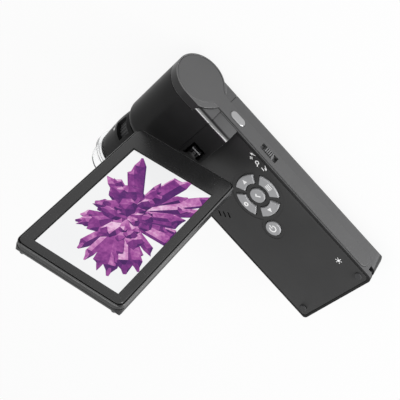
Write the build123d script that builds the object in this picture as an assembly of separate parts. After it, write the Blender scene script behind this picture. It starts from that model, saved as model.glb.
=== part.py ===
from build123d import *
import os
from math import cos, pi, radians, sin, sqrt

# Handheld digital microscope with a swivelling screen. All sizes are in millimetres.
# The origin lies on the flat back that the microscope rests on, half way across it.
# +Z points out of the keypad, +X to the free end of the slab, +Y to the side plate.
# The lens looks along -Y. The screen stands up from its hinge.

# Walls and fits
WALL = 1.6              # moulded casing walls
RUN = 0.05              # running fit of a shaft, on the radius
LAY = 0.05              # between pieces that lie on each other
PLAY = 0.15             # round keys, caps, covers and sliding pieces

# Optics barrel, its axis along Y
BARREL_X = -60.0
BARREL_R = 13.5
BARREL_END_Y = -21.7
BARREL_ROUND = 6.0      # round of the closed end
SPIGOT_GAP = 0.7        # nose spigot inside the barrel's bore, on the radius

# Slab and neck
SIDE_Y = 26.2           # casing side, under the side plate
FAR_Y = -27.0
SLAB_THICK = 18.6
SLAB_END_X = 64.4
NECK_REACH = 17.7       # from the barrel's axis to the seam with the slab shells
BACK_ROUND = 3.8        # long back edges
NECK_ROUND = 3.0        # long front edges of neck and hinge block
NECK_CORNER = 2.4       # neck's upright corner beside the nose
SEAM_GROOVE = 0.3       # fine groove along the neck's seam
CORNER_ROUND = 2.5      # upright corners of the free end, at its face
CORNER_BACK = 7.0       # the same corners at the back
EDGE_ROUND = 0.6
FACE_WALL = 2.2         # front shell under the key panel

# Side plate: a disc over the barrel's end and a strip along the slab
PLATE_THICK = 1.6
PLATE_PROUD = 0.8
DISC_RIM = 0.7          # ring's rim round the disc
STRIP_SET = 0.95        # strip's front edge below the slab's front face
STRIP_END_GAP = 6.5
STRIP_ROUND = 3.0
FRONT_BLEND = 3.0       # S-curve from the disc to the strip's front edge
REAR_BLEND = 8.0

# Ring round the disc
RING_DEPTH = 5.0
RING_NECK_LAP = 2.3     # how far it widens on the neck's side
RING_REAR_LAP = 0.9
RING_GROOVE = 0.3

# Key panel and keys
PANEL_THICK = 0.9
PANEL_BORDER = 1.3
KEY_X = -0.5
KEY_Y = 7.9
KEY_PROUD = 0.7
KEY_TRAVEL = 0.5
KEY_FLANGE = 0.8
OK_R = 4.0
RING_KEY_IN = 6.8
RING_KEY_OUT = 11.8
RING_KEY_SPAN = 70.0    # degrees
POWER_X = 17.0
POWER_Y = 0.7
POWER_R = 4.0

# Boards and what stands on them
BOARD_DROP = 3.8        # board's top below the inside of the front shell
BOARD_THICK = 1.6
BOARD_SEAM_GAP = 2.3
BOARD_END_GAP = 8.0
BOARD_EDGE = 0.8        # gap from board to casing side
BOARD_KEY_GAP = 2.08    # gap from board to the side keys' wall
DOME_R = 2.0
DOME_THICK = 0.3
MAT_THICK = 0.9
POST_R = 2.0
SCREW_R = 0.9

# Snapshot button and zoom slider in the side plate
SHOT_REACH = 7.9        # from the seam to the button's centre
SIDE_KEY_RISE = 0.75    # side keys' centre over the board
SHOT_LENGTH = 8.8
SHOT_WIDTH = 4.5
SHOT_PROUD = 0.4
SHOT_TRAVEL = 0.8
ZOOM_X = -12.65
ZOOM_SLOT_LENGTH = 10.3
ZOOM_SLOT_WIDTH = 3.9
ZOOM_KNOB_LENGTH = 6.2
ZOOM_TRAVEL = 1.6
SWITCH_DEPTH = 2.6
SWITCH_HIGH = 3.2
SHOT_SWITCH_HALF = 3.0
ZOOM_SWITCH_HALF = 4.0

# Speaker
SPEAKER_X = -2.8
SPEAKER_INSET = 8.6     # from the casing's far side
SPEAKER_R = 6.0
SLIT_LENGTH = 3.4
SLIT_WIDTH = 0.9
SLIT_PITCH = 2.65
SLIT_TURN = -25.0       # degrees
SLIT_ROW_TURN = 49.5

# Battery and its door
BATTERY_START = 0.7     # from the door's inner end to the battery
BATTERY_END_GAP = 5.0
BATTERY_SIDE_GAP = 2.5  # inside the door's edge
BAY_GAP = 1.45          # between the battery bay and the board's screw heads
DOOR_X0 = 5.8
DOOR_SIDE_GAP = 6.7     # from the casing's side to the door's edge
DOOR_LEDGE = 1.3        # from the door's end wall up to the parting plane
DOOR_TAB = 0.6          # reach of the door's tabs over the shell
TAB_THICK = 0.8
TAB_LENGTH = 12.0
TAB_START = 3.0
TAB_STEP = 29.0
TAB_ROOT = 1.2

# Lanyard notch at the free end
NOTCH_LENGTH = 4.4
NOTCH_RISE = 3.3        # from the parting plane
NOTCH_HIGH = 2.8
NOTCH_DEPTH = 4.6
BAR_R = 0.7
BAR_INSET = 2.4         # from the casing's side

# Screen hinge
HINGE_REACH = 6.1       # from the seam to the hinge axis
HINGE_DROP = 3.5        # hinge axis below the top of the block
BLOCK_REACH = 5.8       # from the hinge axis to the end of the block
KNUCKLE_R = 3.5
KNUCKLE_GAP = 0.2       # under the knuckle
KNUCKLE_HALF = 6.7
KNUCKLE_FLAT = 3.1      # flat of the knuckle above the hinge axis
WINDOW_HALF_X = 4.05
WINDOW_HALF_Y = 8.8
PIN_R = 1.25
EAR_THICK = 1.4
EAR_GAP = 0.4           # outside the window's end
BRACKET_THICK = 1.2
BRACKET_LAP = 0.5       # wider than the window
BRACKET_FOOT = 3.6      # beyond the ears, for the screws
BRACKET_SCREW_X = 2.9
BRACKET_SCREW_Y = 2.6   # outside the ears
PIN_END = 0.4

# Swivel between knuckle and screen, its axis along Z
SHAFT_R = 1.8
COLLAR_WALL = 0.8
COLLAR_RISE = 1.0
SWIVEL_GAP = 0.6        # collar above the top of the block
NECK_CONE_R = 8.0
NECK_CONE_SET = 0.6     # cone's flats inside the screen's faces
CLIP_WALL = 0.5
CLIP_THICK = 1.0
SHAFT_END = 0.6         # shaft beyond the clip
SHAFT_SEAT = 0.4        # shaft's foot over the pin

# Screen, modelled standing square to X and Y and then turned about its swivel
LCD_TURN = 24.15        # degrees about +Z
LCD_HALF = 27.65
LCD_RISE = 3.5          # screen above the top of the hinge block
LCD_LENGTH = 97.1
LCD_FRONT = 3.4         # front face before the swivel axis
LCD_BACK = 4.6
LCD_SPLIT = 0.2
LCD_CORNER = 3.2
LCD_SIDE_ROUND = 3.0
LCD_END_ROUND = 4.4
BEZEL_WALL = 1.0
COVER_WALL = 1.4
BORDER_LEFT = 6.5      # bezel round the picture
BORDER_RIGHT = 5.2
BORDER_LOW = 14.2
BORDER_TOP = 5.4
GLASS_LAP = 1.1
GLASS_THICK = 1.1
BACKLIGHT_THICK = 3.2
LCD_BOARD_THICK = 1.0
LCD_POST_R = 1.5
LCD_POST_SIDE = 3.8
LCD_POST_LOW = 5.5
LCD_POST_TOP = 2.3
LCD_SCREW_R = 0.7
LCD_HEAD_R = 1.2
LCD_HEAD_THICK = 0.9
LCD_HEAD_DEPTH = 1.6    # seat of the screw heads in the back

# Nose, focus wheel, lens carriage and clear tip, all round the barrel's axis
SPIGOT_WALL = 1.0       # round the lens carriage
SPIGOT_LENGTH = 3.0     # inside the barrel's wall
WHEEL_WALL = 2.2        # wheel's rim outside the carriage
NOSE_WALL = 2.0         # nose outside the wheel
NOSE_CLEAR = 0.8        # between the nose and the neck's corner
NOSE_NECK_SET = 1.8     # narrower at the barrel
NOSE_MID_SET = 0.5
NOSE_END_SET = 1.0
NOSE_LENGTH = 29.3
NOSE_COLLAR = 2.0       # from the barrel to the end of the neck's flare
NOSE_SHOULDER = 4.3
NOSE_FULL = 9.0         # full width from here
NOSE_TAPER = 12.5       # to here
NOSE_MID = 22.5
WHEEL_LENGTH = 7.5
WHEEL_GROOVE_R = 0.45
WHEEL_GROOVES = 36
WHEEL_START = 2.3       # from the barrel's end to the wheel
NOSE_WINDOW_FROM = 22.0  # degrees from +Z towards -X
NOSE_WINDOW_TO = 69.0
CARRIAGE_WALL = 1.8
CARRIAGE_LENGTH = 29.0
CARRIAGE_GAP = 5.0      # behind the ring board, past the focus travel
LENS_THICK = 2.4
LENS_STOP = 1.0
FOCUS_TRAVEL = 2.0      # each way
LED_RING_THICK = 1.2
LED_RING_WALL = 1.4     # sleeve round the ring board
LED_RING_LEDGE = 0.9
LED_RING_WIDTH = 3.2
LED_SEAT = 3.0          # depth of the ring board's seat from the sleeve's end
LED_COUNT = 8
LED_INSET = 1.6         # from the ring board's edge
LED_SIZE = 1.6
LED_THICK = 0.8
TIP_FLANGE_LAP = 1.7    # wider than the nose's end
TIP_FLANGE_DEPTH = 1.5
TIP_FACE = 1.5
TIP_SET = 0.6           # tube narrower than the nose's end
TIP_CLEAR = 0.1
TIP_WALL = 1.5
TIP_LENGTH = 10.0

# Sensor board inside the barrel
WEB_Y = 6.0
WEB_THICK = 1.5
SENSOR_SIZE = 9.0
SENSOR_CLEAR = 0.63     # between the sensor's corners and the web's hole
SENSOR_THICK = 1.4
SENSOR_BOARD_THICK = 1.2

# Bumper pads on the free end
PAD_R = 1.9
PAD_THICK = 0.6
PAD_END_GAP = 5.2
PAD_SIDE_GAP = 5.0
PAD_FAR_GAP = 4.7

# Screws of the casing and of the board
HEAD_R = 1.7
HEAD_THICK = 1.1
HEAD_Z0 = 2.6
SCREW_TIP_GAP = 0.6     # below the inside of the front shell
CASE_SCREW_NECK = 11.2
CASE_SCREW_NECK_SIDE = 6.2
CASE_SCREW_NECK_FAR = 7.0
CASE_SCREW_END = 15.5
CASE_SCREW_END_SIDE = 3.8
CASE_SCREW_END_FAR = 4.6
BOARD_SCREW_NECK = 4.2
BOARD_SCREW_NECK_Y = -4.0
BOARD_SCREW_KEYS = 19.5
BOARD_SCREW_END = 23.5
BOARD_SCREW_END_FAR = 11.0
BOARD_SCREW_END_SIDE = 12.2

# Places that follow from the sizes above
SEAM_X = BARREL_X + NECK_REACH
HINGE_X = SEAM_X + HINGE_REACH
BLOCK_END_X = HINGE_X + BLOCK_REACH
HINGE_Z = SLAB_THICK + BRACKET_THICK + KNUCKLE_GAP + KNUCKLE_R
BLOCK_TOP_Z = HINGE_Z + HINGE_DROP
PART_Z = SLAB_THICK / 2
DISC_R = BARREL_R - DISC_RIM
STRIP_FRONT_Z = SLAB_THICK - STRIP_SET
STRIP_END_X = SLAB_END_X - STRIP_END_GAP
RING_NECK_R = BARREL_R + RING_NECK_LAP
RING_REAR_R = BARREL_R + RING_REAR_LAP
PLATE_Y = SIDE_Y + PLATE_PROUD
PLATE_IN_Y = PLATE_Y - PLATE_THICK
RING_Y0 = PLATE_Y - RING_DEPTH
BARREL_BORE = BARREL_R - WALL
HOUSING_BORE = BARREL_BORE - PLAY - LAY - WALL
FACE_IN_Z = SLAB_THICK - FACE_WALL
BOARD_TOP_Z = FACE_IN_Z - BOARD_DROP
IN_SIDE_Y = SIDE_Y - WALL
IN_FAR_Y = FAR_Y + WALL
BOARD_Z0 = BOARD_TOP_Z - BOARD_THICK
BOARD_Y0 = IN_FAR_Y + BOARD_EDGE
BOARD_Y1 = IN_SIDE_Y - BOARD_KEY_GAP
BOARD_X0 = SEAM_X + BOARD_SEAM_GAP
BOARD_X1 = SLAB_END_X - BOARD_END_GAP
SHOT_X = SEAM_X + SHOT_REACH
SIDE_KEY_Z = BOARD_TOP_Z + SIDE_KEY_RISE
SPEAKER_Y = FAR_Y + SPEAKER_INSET
DOOR_HALF = SIDE_Y - DOOR_SIDE_GAP
DOOR_TOP_Z = PART_Z - DOOR_LEDGE
BAY_WALL = WALL / 2
BAY_ROOF_Z = BOARD_Z0 - HEAD_THICK - BAY_GAP - BAY_WALL
BATTERY_X0 = DOOR_X0 + BATTERY_START
BATTERY_X1 = SLAB_END_X - BATTERY_END_GAP
BATTERY_Z0 = WALL + 2 * PLAY
BATTERY_TOP_Z = BAY_ROOF_Z - PLAY
BATTERY_HALF = DOOR_HALF - BATTERY_SIDE_GAP
NOTCH_Z0 = PART_Z + NOTCH_RISE
NOTCH_Z1 = NOTCH_Z0 + NOTCH_HIGH
COLLAR_R = SHAFT_R + COLLAR_WALL
WASHER_R = COLLAR_R - LAY
CLIP_R = SHAFT_R + CLIP_WALL
SPIGOT_R = HOUSING_BORE - SPIGOT_GAP
CARRIAGE_R = SPIGOT_R - SPIGOT_WALL
WHEEL_R = CARRIAGE_R + WHEEL_WALL
NOSE_R = WHEEL_R + NOSE_WALL
NOSE_NECK_R = NOSE_R - NOSE_NECK_SET
NOSE_MID_R = NOSE_R - NOSE_MID_SET
NOSE_END_R = NOSE_R - NOSE_END_SET
LED_RING_R = NOSE_END_R - LED_RING_WALL
LED_PITCH_R = LED_RING_R - LED_INSET
LED_RING_BORE = LED_RING_R - LED_RING_WIDTH
TIP_FLANGE_R = NOSE_END_R + TIP_FLANGE_LAP
TIP_R = NOSE_END_R - TIP_SET
WEB_HOLE_R = SENSOR_SIZE / sqrt(2) + SENSOR_CLEAR
NOSE_END_Y = BARREL_END_Y - NOSE_LENGTH
CARRIAGE_FRONT_Y = NOSE_END_Y + LED_SEAT + FOCUS_TRAVEL + CARRIAGE_GAP
WHEEL_Y1 = BARREL_END_Y - WHEEL_START
WHEEL_Y0 = WHEEL_Y1 - WHEEL_LENGTH
LCD_Z0 = BLOCK_TOP_Z + LCD_RISE
LCD_TOP_Z = LCD_Z0 + LCD_LENGTH
VIEW_U0 = -LCD_HALF + BORDER_LEFT
VIEW_U1 = LCD_HALF - BORDER_RIGHT
VIEW_Z0 = LCD_Z0 + BORDER_LOW
VIEW_Z1 = LCD_TOP_Z - BORDER_TOP
COLLAR_Z0 = BLOCK_TOP_Z + SWIVEL_GAP
EAR_HALF = HINGE_DROP - WALL - 2 * LAY   # ears and springs fit under the cover
SPRING_R = EAR_HALF
CUT = 1.0               # how far a cutting solid runs past a face


def box(x0, x1, y0, y1, z0, z1):
    centre = ((x0 + x1) / 2, (y0 + y1) / 2, (z0 + z1) / 2)
    return Pos(*centre) * Box(x1 - x0, y1 - y0, z1 - z0)


def rod_y(x, z, y0, y1, r):
    return Pos(x, (y0 + y1) / 2, z) * Rot(90, 0, 0) * Cylinder(r, y1 - y0)


def rod_z(x, y, z0, z1, r):
    return Pos(x, y, (z0 + z1) / 2) * Cylinder(r, z1 - z0)


def along_x(sketch, x0, x1):
    """Extrudes a sketch of Y and Z from x0 to x1."""
    return extrude(Plane.YZ.offset(x0) * sketch, amount=x1 - x0)


def along_y(sketch, y0, y1):
    """Extrudes a sketch of X and Z from y0 to y1."""
    return extrude(Plane.XZ.offset(-y1) * sketch, amount=y1 - y0)


def along_z(sketch, z0, z1):
    return extrude(Pos(0, 0, z0) * sketch, amount=z1 - z0)


def rounded(points, radii):
    return make_face(FilletPolyline(*points, radius=radii, close=True))


def oblong(x, y, length, width):
    """A slot-shaped sketch along its first axis."""
    return Pos(x, y) * SlotOverall(length, width)


def turned(points):
    """Revolves a profile of (radius, Y) points about the barrel's axis."""
    profile = make_face(Polyline(*[(r, y) for r, y in points], close=True))
    return Pos(BARREL_X, 0, BARREL_R) * revolve(profile, Axis.Y)


def write(solid, node):
    export_step(solid, f"parts/{node}.step")


# ---------------------------------------------------------------- side plate


def plate_outline(grow=0.0):
    """Disc and strip of the side plate, in X and Z."""
    disc = Pos(BARREL_X, BARREL_R) * Circle(DISC_R + grow)
    x0, x1 = BARREL_X, STRIP_END_X + grow
    z0, z1 = PART_Z - grow, STRIP_FRONT_Z + grow
    strip = rounded(
        [(x0, z0), (x1, z0), (x1, z1), (x0, z1)],
        [0, STRIP_ROUND, STRIP_ROUND, 0],
    )
    outline = disc + strip
    corners = outline.vertices().sort_by(Axis.X)[:2]
    outline = fillet(corners.sort_by(Axis.Y)[-1], FRONT_BLEND - grow)
    corners = outline.vertices().filter_by(lambda v: v.Y < BARREL_R).sort_by(Axis.X)
    return fillet(corners[0], REAR_BLEND - grow)


def side_plate():
    plate = along_y(plate_outline(), PLATE_IN_Y, PLATE_Y)
    front = plate.faces().sort_by(Axis.Y)[-1]
    plate = chamfer(front.outer_wire().edges(), 0.25)
    shot = oblong(SHOT_X, SIDE_KEY_Z, SHOT_LENGTH + 2 * PLAY, SHOT_WIDTH + 2 * PLAY)
    plate -= along_y(shot, PLATE_IN_Y - CUT, PLATE_Y + CUT)
    half = ZOOM_SLOT_LENGTH / 2
    high = ZOOM_SLOT_WIDTH / 2
    return plate - box(
        ZOOM_X - half,
        ZOOM_X + half,
        PLATE_IN_Y - CUT,
        PLATE_Y + CUT,
        SIDE_KEY_Z - high,
        SIDE_KEY_Z + high,
    )


def plate_seat():
    """What the side plate's seat takes out of the casings."""
    return along_y(plate_outline(LAY), PLATE_IN_Y - LAY, PLATE_Y + CUT)


# ---------------------------------------------------------------- barrel


def neck_side(z0, inset=0.0):
    """Side of the neck in X and Z: as high as the barrel at its axis, as the block at the seam."""
    top0, top1 = 2 * BARREL_R - inset, BLOCK_TOP_Z - inset
    points = [(BARREL_X, z0), (SEAM_X, z0), (SEAM_X, top1), (BARREL_X, top0)]
    return make_face(Polyline(*points, close=True))


def ring_outline(grow=0.0):
    """End ring in X and Z: the barrel's circle, with wider arcs over the neck."""
    centre = Pos(BARREL_X, BARREL_R)
    outline = centre * Circle(BARREL_R)
    outline += (centre * Circle(RING_NECK_R + grow)) & neck_side(PART_Z)
    outline += (centre * Circle(RING_REAR_R + grow)) & neck_side(BACK_ROUND)
    return outline


def end_ring():
    ring = along_y(ring_outline(), RING_Y0, PLATE_Y)
    ring -= rod_y(BARREL_X, BARREL_R, RING_Y0 - CUT, PLATE_Y + CUT, BARREL_BORE - PLAY)
    return ring - plate_seat()


def neck_section(inset=0.0):
    return rounded(
        [
            (FAR_Y + inset, inset),
            (SIDE_Y - inset, inset),
            (SIDE_Y - inset, BLOCK_TOP_Z - inset),
            (FAR_Y + inset, BLOCK_TOP_Z - inset),
        ],
        [BACK_ROUND - inset, BACK_ROUND - inset, NECK_ROUND - inset, NECK_ROUND - inset],
    )


def seam_groove():
    """Step round the neck's end, which shows as a line between it and the slab."""
    x0 = SEAM_X - SEAM_GROOVE
    return along_x(neck_section(), x0, SEAM_X) - along_x(
        neck_section(SEAM_GROOVE), x0 - CUT, SEAM_X + CUT
    )


def neck_envelope(inset=0.0):
    """Neck between barrel and slab, from the barrel's axis to the seam."""
    neck = along_x(neck_section(inset), BARREL_X, SEAM_X)
    turn_x = BARREL_X + NOSE_R + NOSE_CLEAR + inset
    plan = rounded(
        [
            (BARREL_X, BARREL_END_Y + BARREL_ROUND + inset),
            (turn_x, BARREL_END_Y + BARREL_ROUND / 3 + inset),
            (turn_x, FAR_Y + inset),
            (SEAM_X, FAR_Y + inset),
            (SEAM_X, SIDE_Y - inset),
            (BARREL_X, SIDE_Y - inset),
        ],
        [0, 1.0, NECK_CORNER - inset, 0, 0, 0],
    )
    neck = neck & along_z(plan, 0, BLOCK_TOP_Z)
    return neck & along_y(neck_side(0, inset), FAR_Y, SIDE_Y)


def barrel_housing():
    y0, y1, r, e = BARREL_END_Y, RING_Y0 - RING_GROOVE, BARREL_R, BARREL_ROUND
    barrel = rod_y(BARREL_X, BARREL_R, y0, y1, r)
    end = barrel.edges().filter_by(GeomType.CIRCLE).sort_by(Axis.Y)[0]
    barrel = fillet(end, e)
    housing = barrel + neck_envelope()
    housing -= along_y(ring_outline(LAY), RING_Y0 - RING_GROOVE, PLATE_Y + CUT)
    # the ring's seat: a spigot that the ring slides over
    housing += rod_y(BARREL_X, BARREL_R, y0 + e, PLATE_IN_Y - LAY, BARREL_BORE - PLAY - LAY)
    bore_r = HOUSING_BORE
    housing -= rod_y(BARREL_X, BARREL_R, y0 + WALL, SIDE_Y + CUT, bore_r)
    # open neck from the bore to the slab
    cavity = neck_envelope(WALL)
    cavity = cavity & box(
        BARREL_X + bore_r / 2, SEAM_X, FAR_Y, PLATE_IN_Y - WALL, WALL, BLOCK_TOP_Z - WALL
    )
    housing -= cavity
    housing -= plate_seat()
    housing -= seam_groove()
    # web that carries the sensor board
    web = rod_y(BARREL_X, BARREL_R, WEB_Y, WEB_Y + WEB_THICK, bore_r + LAY)
    housing += web - rod_y(
        BARREL_X, BARREL_R, WEB_Y - CUT, WEB_Y + WEB_THICK + CUT, WEB_HOLE_R
    )
    return housing - rod_y(BARREL_X, BARREL_R, y0 - CUT, y0 + WALL + CUT, SPIGOT_R + LAY)


# ---------------------------------------------------------------- slab shells


def slab_envelope(inset=0.0, face_inset=None):
    """Outer form of the slab, or its hollow when inset by the wall."""
    top = SLAB_THICK - (inset if face_inset is None else face_inset)
    y0, y1 = FAR_Y + inset, SIDE_Y - inset
    x0, x1 = SEAM_X, SLAB_END_X - inset
    back, edge = BACK_ROUND - inset, EDGE_ROUND
    section = rounded([(y0, inset), (y1, inset), (y1, top), (y0, top)], [back, back, edge, edge])
    side = rounded([(x0, inset), (x1, inset), (x1, top), (x0, top)], [0, back, edge, 0])
    plans = []
    for z, corner in ((0, CORNER_BACK), (SLAB_THICK, CORNER_ROUND)):
        corner = max(corner - inset, EDGE_ROUND)
        plan = rounded([(x0, y0), (x1, y0), (x1, y1), (x0, y1)], [0, corner, corner, 0])
        plans.append(Pos(0, 0, z) * plan)
    form = along_x(section, x0, x1) & loft(plans, ruled=True)
    return form & along_y(side, FAR_Y, SIDE_Y)


def slab_hollow():
    return slab_envelope(WALL, FACE_WALL)


def sector(r0, r1, centre, span):
    """Sketch of a ring sector about the origin; centre and span in degrees."""
    reach = 2 * r1
    half = radians(span / 2)
    wedge = make_face(
        Polyline(
            (0, 0),
            (reach * cos(half), -reach * sin(half)),
            (reach * cos(half), reach * sin(half)),
            close=True,
        )
    )
    ring = Circle(r1) - Circle(r0)
    return Rot(0, 0, centre) * (ring & wedge)


def ring_key_sketch(centre, grow=0.0):
    """Outline of one of the four keys round the OK key; its sides stay parallel as it grows."""
    mid = (RING_KEY_IN + RING_KEY_OUT) / 2
    span = RING_KEY_SPAN + 2 * grow / mid * 180 / pi
    return Pos(KEY_X, KEY_Y) * sector(RING_KEY_IN - grow, RING_KEY_OUT + grow, centre, span)


def round_key_sketch(x, y, r):
    return Pos(x, y) * Circle(r)


RING_KEYS = {"key_left": 180, "key_menu": 90, "key_right": 0, "key_gallery": -90}


def key_outlines(grow=0.0):
    outlines = {name: ring_key_sketch(turn, grow) for name, turn in RING_KEYS.items()}
    outlines["key_ok"] = round_key_sketch(KEY_X, KEY_Y, OK_R + grow)
    outlines["key_power"] = round_key_sketch(POWER_X, POWER_Y, POWER_R + grow)
    return outlines


def key_centre(name):
    if name == "key_ok":
        return KEY_X, KEY_Y
    if name == "key_power":
        return POWER_X, POWER_Y
    mid = (RING_KEY_IN + RING_KEY_OUT) / 2
    turn = radians(RING_KEYS[name])
    return KEY_X + mid * cos(turn), KEY_Y + mid * sin(turn)


def slits():
    """Speaker slits, a slanting row of three."""
    sketch = Sketch()
    turn = radians(SLIT_ROW_TURN)
    for i in (-1, 0, 1):
        x = SPEAKER_X + i * SLIT_PITCH * cos(turn)
        y = SPEAKER_Y + i * SLIT_PITCH * sin(turn)
        sketch += Pos(x, y) * Rot(0, 0, SLIT_TURN) * SlotOverall(SLIT_LENGTH, SLIT_WIDTH)
    return sketch


EAR_Y0 = WINDOW_HALF_Y + EAR_GAP
EAR_Y1 = EAR_Y0 + EAR_THICK
CASE_SCREWS = [
    (HINGE_X + CASE_SCREW_NECK, SIDE_Y - CASE_SCREW_NECK_SIDE),
    (HINGE_X + CASE_SCREW_NECK, FAR_Y + CASE_SCREW_NECK_FAR),
    (SLAB_END_X - CASE_SCREW_END, SIDE_Y - CASE_SCREW_END_SIDE),
    (SLAB_END_X - CASE_SCREW_END, FAR_Y + CASE_SCREW_END_FAR),
]
BOARD_SCREWS = [
    (HINGE_X + BOARD_SCREW_NECK, BOARD_SCREW_NECK_Y),
    (KEY_X - BOARD_SCREW_KEYS, KEY_Y),
    (SLAB_END_X - BOARD_SCREW_END, FAR_Y + BOARD_SCREW_END_FAR),
    (SLAB_END_X - BOARD_SCREW_END, SIDE_Y - BOARD_SCREW_END_SIDE),
]
BRACKET_SCREWS = [
    (HINGE_X + s * BRACKET_SCREW_X, t * (EAR_Y1 + BRACKET_SCREW_Y))
    for s in (-1, 1)
    for t in (-1, 1)
]
BRACKET_SCREW_END = BOARD_TOP_Z + 1.0


def notch():
    x0 = SLAB_END_X - NOTCH_LENGTH
    return box(x0, SLAB_END_X + CUT, SIDE_Y - NOTCH_DEPTH, SIDE_Y + CUT, NOTCH_Z0, NOTCH_Z1)


def bar_place():
    return SLAB_END_X - NOTCH_LENGTH / 2, SIDE_Y - BAR_INSET


def side_stem(x, half_x, half_z):
    """Slot through the casing side for a side control's stem."""
    return box(
        x - half_x,
        x + half_x,
        IN_SIDE_Y - CUT,
        SIDE_Y + CUT,
        SIDE_KEY_Z - half_z,
        SIDE_KEY_Z + half_z,
    )


ZOOM_STEM_HALF = 1.2


def front_shell():
    upper = box(SEAM_X, SLAB_END_X + CUT, FAR_Y - CUT, SIDE_Y + CUT, PART_Z, SLAB_THICK + CUT)
    shell = (slab_envelope() & upper) - slab_hollow()
    # corner block round the lanyard notch
    block = box(
        SLAB_END_X - NOTCH_LENGTH - WALL,
        SLAB_END_X,
        SIDE_Y - NOTCH_DEPTH - WALL,
        SIDE_Y,
        PART_Z,
        SLAB_THICK,
    )
    shell += block & slab_envelope()
    for x, y in CASE_SCREWS:
        shell += rod_z(x, y, PART_Z, FACE_IN_Z, POST_R)
    for x, y in BOARD_SCREWS:
        shell += rod_z(x, y, BOARD_TOP_Z, FACE_IN_Z, POST_R)
    for x, y in BRACKET_SCREWS:
        shell += rod_z(x, y, BOARD_TOP_Z + LAY, FACE_IN_Z, POST_R)
    for x, y in CASE_SCREWS:
        shell -= rod_z(x, y, PART_Z - CUT, FACE_IN_Z, SCREW_R)
    for x, y in BOARD_SCREWS:
        shell -= rod_z(x, y, BOARD_TOP_Z - CUT, FACE_IN_Z, SCREW_R)
    for x, y in BRACKET_SCREWS:
        shell -= rod_z(x, y, BRACKET_SCREW_END - LAY, SLAB_THICK + CUT, SCREW_R)
    # seat of the key panel, keys and speaker
    shell -= along_z(panel_outline(LAY), SLAB_THICK - PANEL_THICK - LAY, SLAB_THICK + CUT)
    for outline in key_outlines(PLAY).values():
        shell -= along_z(outline, FACE_IN_Z - CUT, SLAB_THICK)
    shell -= along_z(slits(), FACE_IN_Z - CUT, SLAB_THICK)
    # side controls
    shell -= plate_seat()
    shot = oblong(SHOT_X, SIDE_KEY_Z, SHOT_LENGTH + 2 * PLAY, SHOT_WIDTH + 2 * PLAY)
    shell -= along_y(shot, IN_SIDE_Y - CUT, SIDE_Y)
    reach = ZOOM_STEM_HALF + ZOOM_TRAVEL + PLAY
    shell -= side_stem(ZOOM_X, reach, ZOOM_STEM_HALF + PLAY)
    shell -= notch()
    bar_x, bar_y = bar_place()
    shell -= rod_z(bar_x, bar_y, NOTCH_Z0 - WALL, NOTCH_Z1 + WALL, BAR_R)
    # sockets open through the far side
    for x, width, high in SOCKETS.values():
        shell -= box(
            x - width / 2 + SOCKET_LIP,
            x + width / 2 - SOCKET_LIP,
            FAR_Y - CUT,
            IN_FAR_Y + CUT,
            BOARD_TOP_Z + SOCKET_LIP,
            BOARD_TOP_Z + high - SOCKET_LIP,
        )
    # wires pass from the hinge block into the slab
    x0 = HINGE_X - WINDOW_HALF_X
    x1 = HINGE_X + WINDOW_HALF_X
    return shell - box(x0, x1, FAR_Y + 5, FAR_Y + 9, FACE_IN_Z - CUT, SLAB_THICK + CUT)


def rear_shell():
    lower = box(SEAM_X, SLAB_END_X + CUT, FAR_Y - CUT, SIDE_Y + CUT, -CUT, PART_Z)
    shell = (slab_envelope() & lower) - slab_hollow()
    shell += battery_bay() & slab_envelope(WALL / 2)
    for x, y in CASE_SCREWS:
        shell += rod_z(x, y, 0, PART_Z, POST_R + LAY) & slab_envelope()
    for x, y in CASE_SCREWS:
        shell -= rod_z(x, y, -CUT, HEAD_Z0 + HEAD_THICK, HEAD_R + LAY)
        shell -= rod_z(x, y, 0, PART_Z + CUT, SCREW_R + LAY)
    shell -= box(
        DOOR_X0 - PLAY,
        SLAB_END_X + CUT,
        -DOOR_HALF - PLAY,
        DOOR_HALF + PLAY,
        -CUT,
        WALL + LAY,
    )
    shell -= box(
        SLAB_END_X - BACK_ROUND - WALL,
        SLAB_END_X + CUT,
        -DOOR_HALF - PLAY,
        DOOR_HALF + PLAY,
        -CUT,
        DOOR_TOP_Z + PLAY,
    )
    return shell - plate_seat()


def battery_bay():
    """Webs and roof of the battery bay, moulded with the rear shell."""
    x0 = DOOR_X0 - PLAY - WALL
    x1 = SLAB_END_X - BACK_ROUND - WALL - 2 * PLAY
    inner = BATTERY_HALF + 2 * PLAY
    outer = DOOR_HALF + DOOR_TAB + 4 * PLAY
    roof_z = BAY_ROOF_Z
    thin = BAY_WALL
    bay = box(x0, x1, -outer - thin, outer + thin, roof_z, roof_z + thin)
    bay += box(x0, x0 + WALL, -outer - thin, outer + thin, WALL / 2, roof_z + thin)
    for side in (-1, 1):
        y0, y1 = sorted((side * outer, side * (outer + thin)))
        bay += box(x0, x1, y0, y1, WALL / 2, roof_z + thin)
        y0, y1 = sorted((side * inner, side * (inner + thin)))
        bay += box(x0, x1, y0, y1, WALL + TAB_THICK + 4 * PLAY, roof_z + thin)
    return bay


def battery_door():
    zone = box(DOOR_X0, SLAB_END_X + CUT, -DOOR_HALF, DOOR_HALF, -CUT, DOOR_TOP_Z)
    door = (slab_envelope() & zone) - slab_hollow()
    z0, z1 = WALL, WALL + TAB_THICK
    for side in (-1, 1):
        foot_y = sorted((side * (DOOR_HALF - TAB_ROOT), side * (DOOR_HALF + DOOR_TAB)))
        root_y = sorted((side * (DOOR_HALF - TAB_ROOT), side * DOOR_HALF))
        for i in (0, 1):
            x0 = DOOR_X0 + TAB_START + i * TAB_STEP
            x1 = x0 + TAB_LENGTH
            door += box(x0, x1, *foot_y, z0 + 2 * LAY, z1)
            door += box(x0, x1, *root_y, z0 - LAY, z1)
    return door


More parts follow.
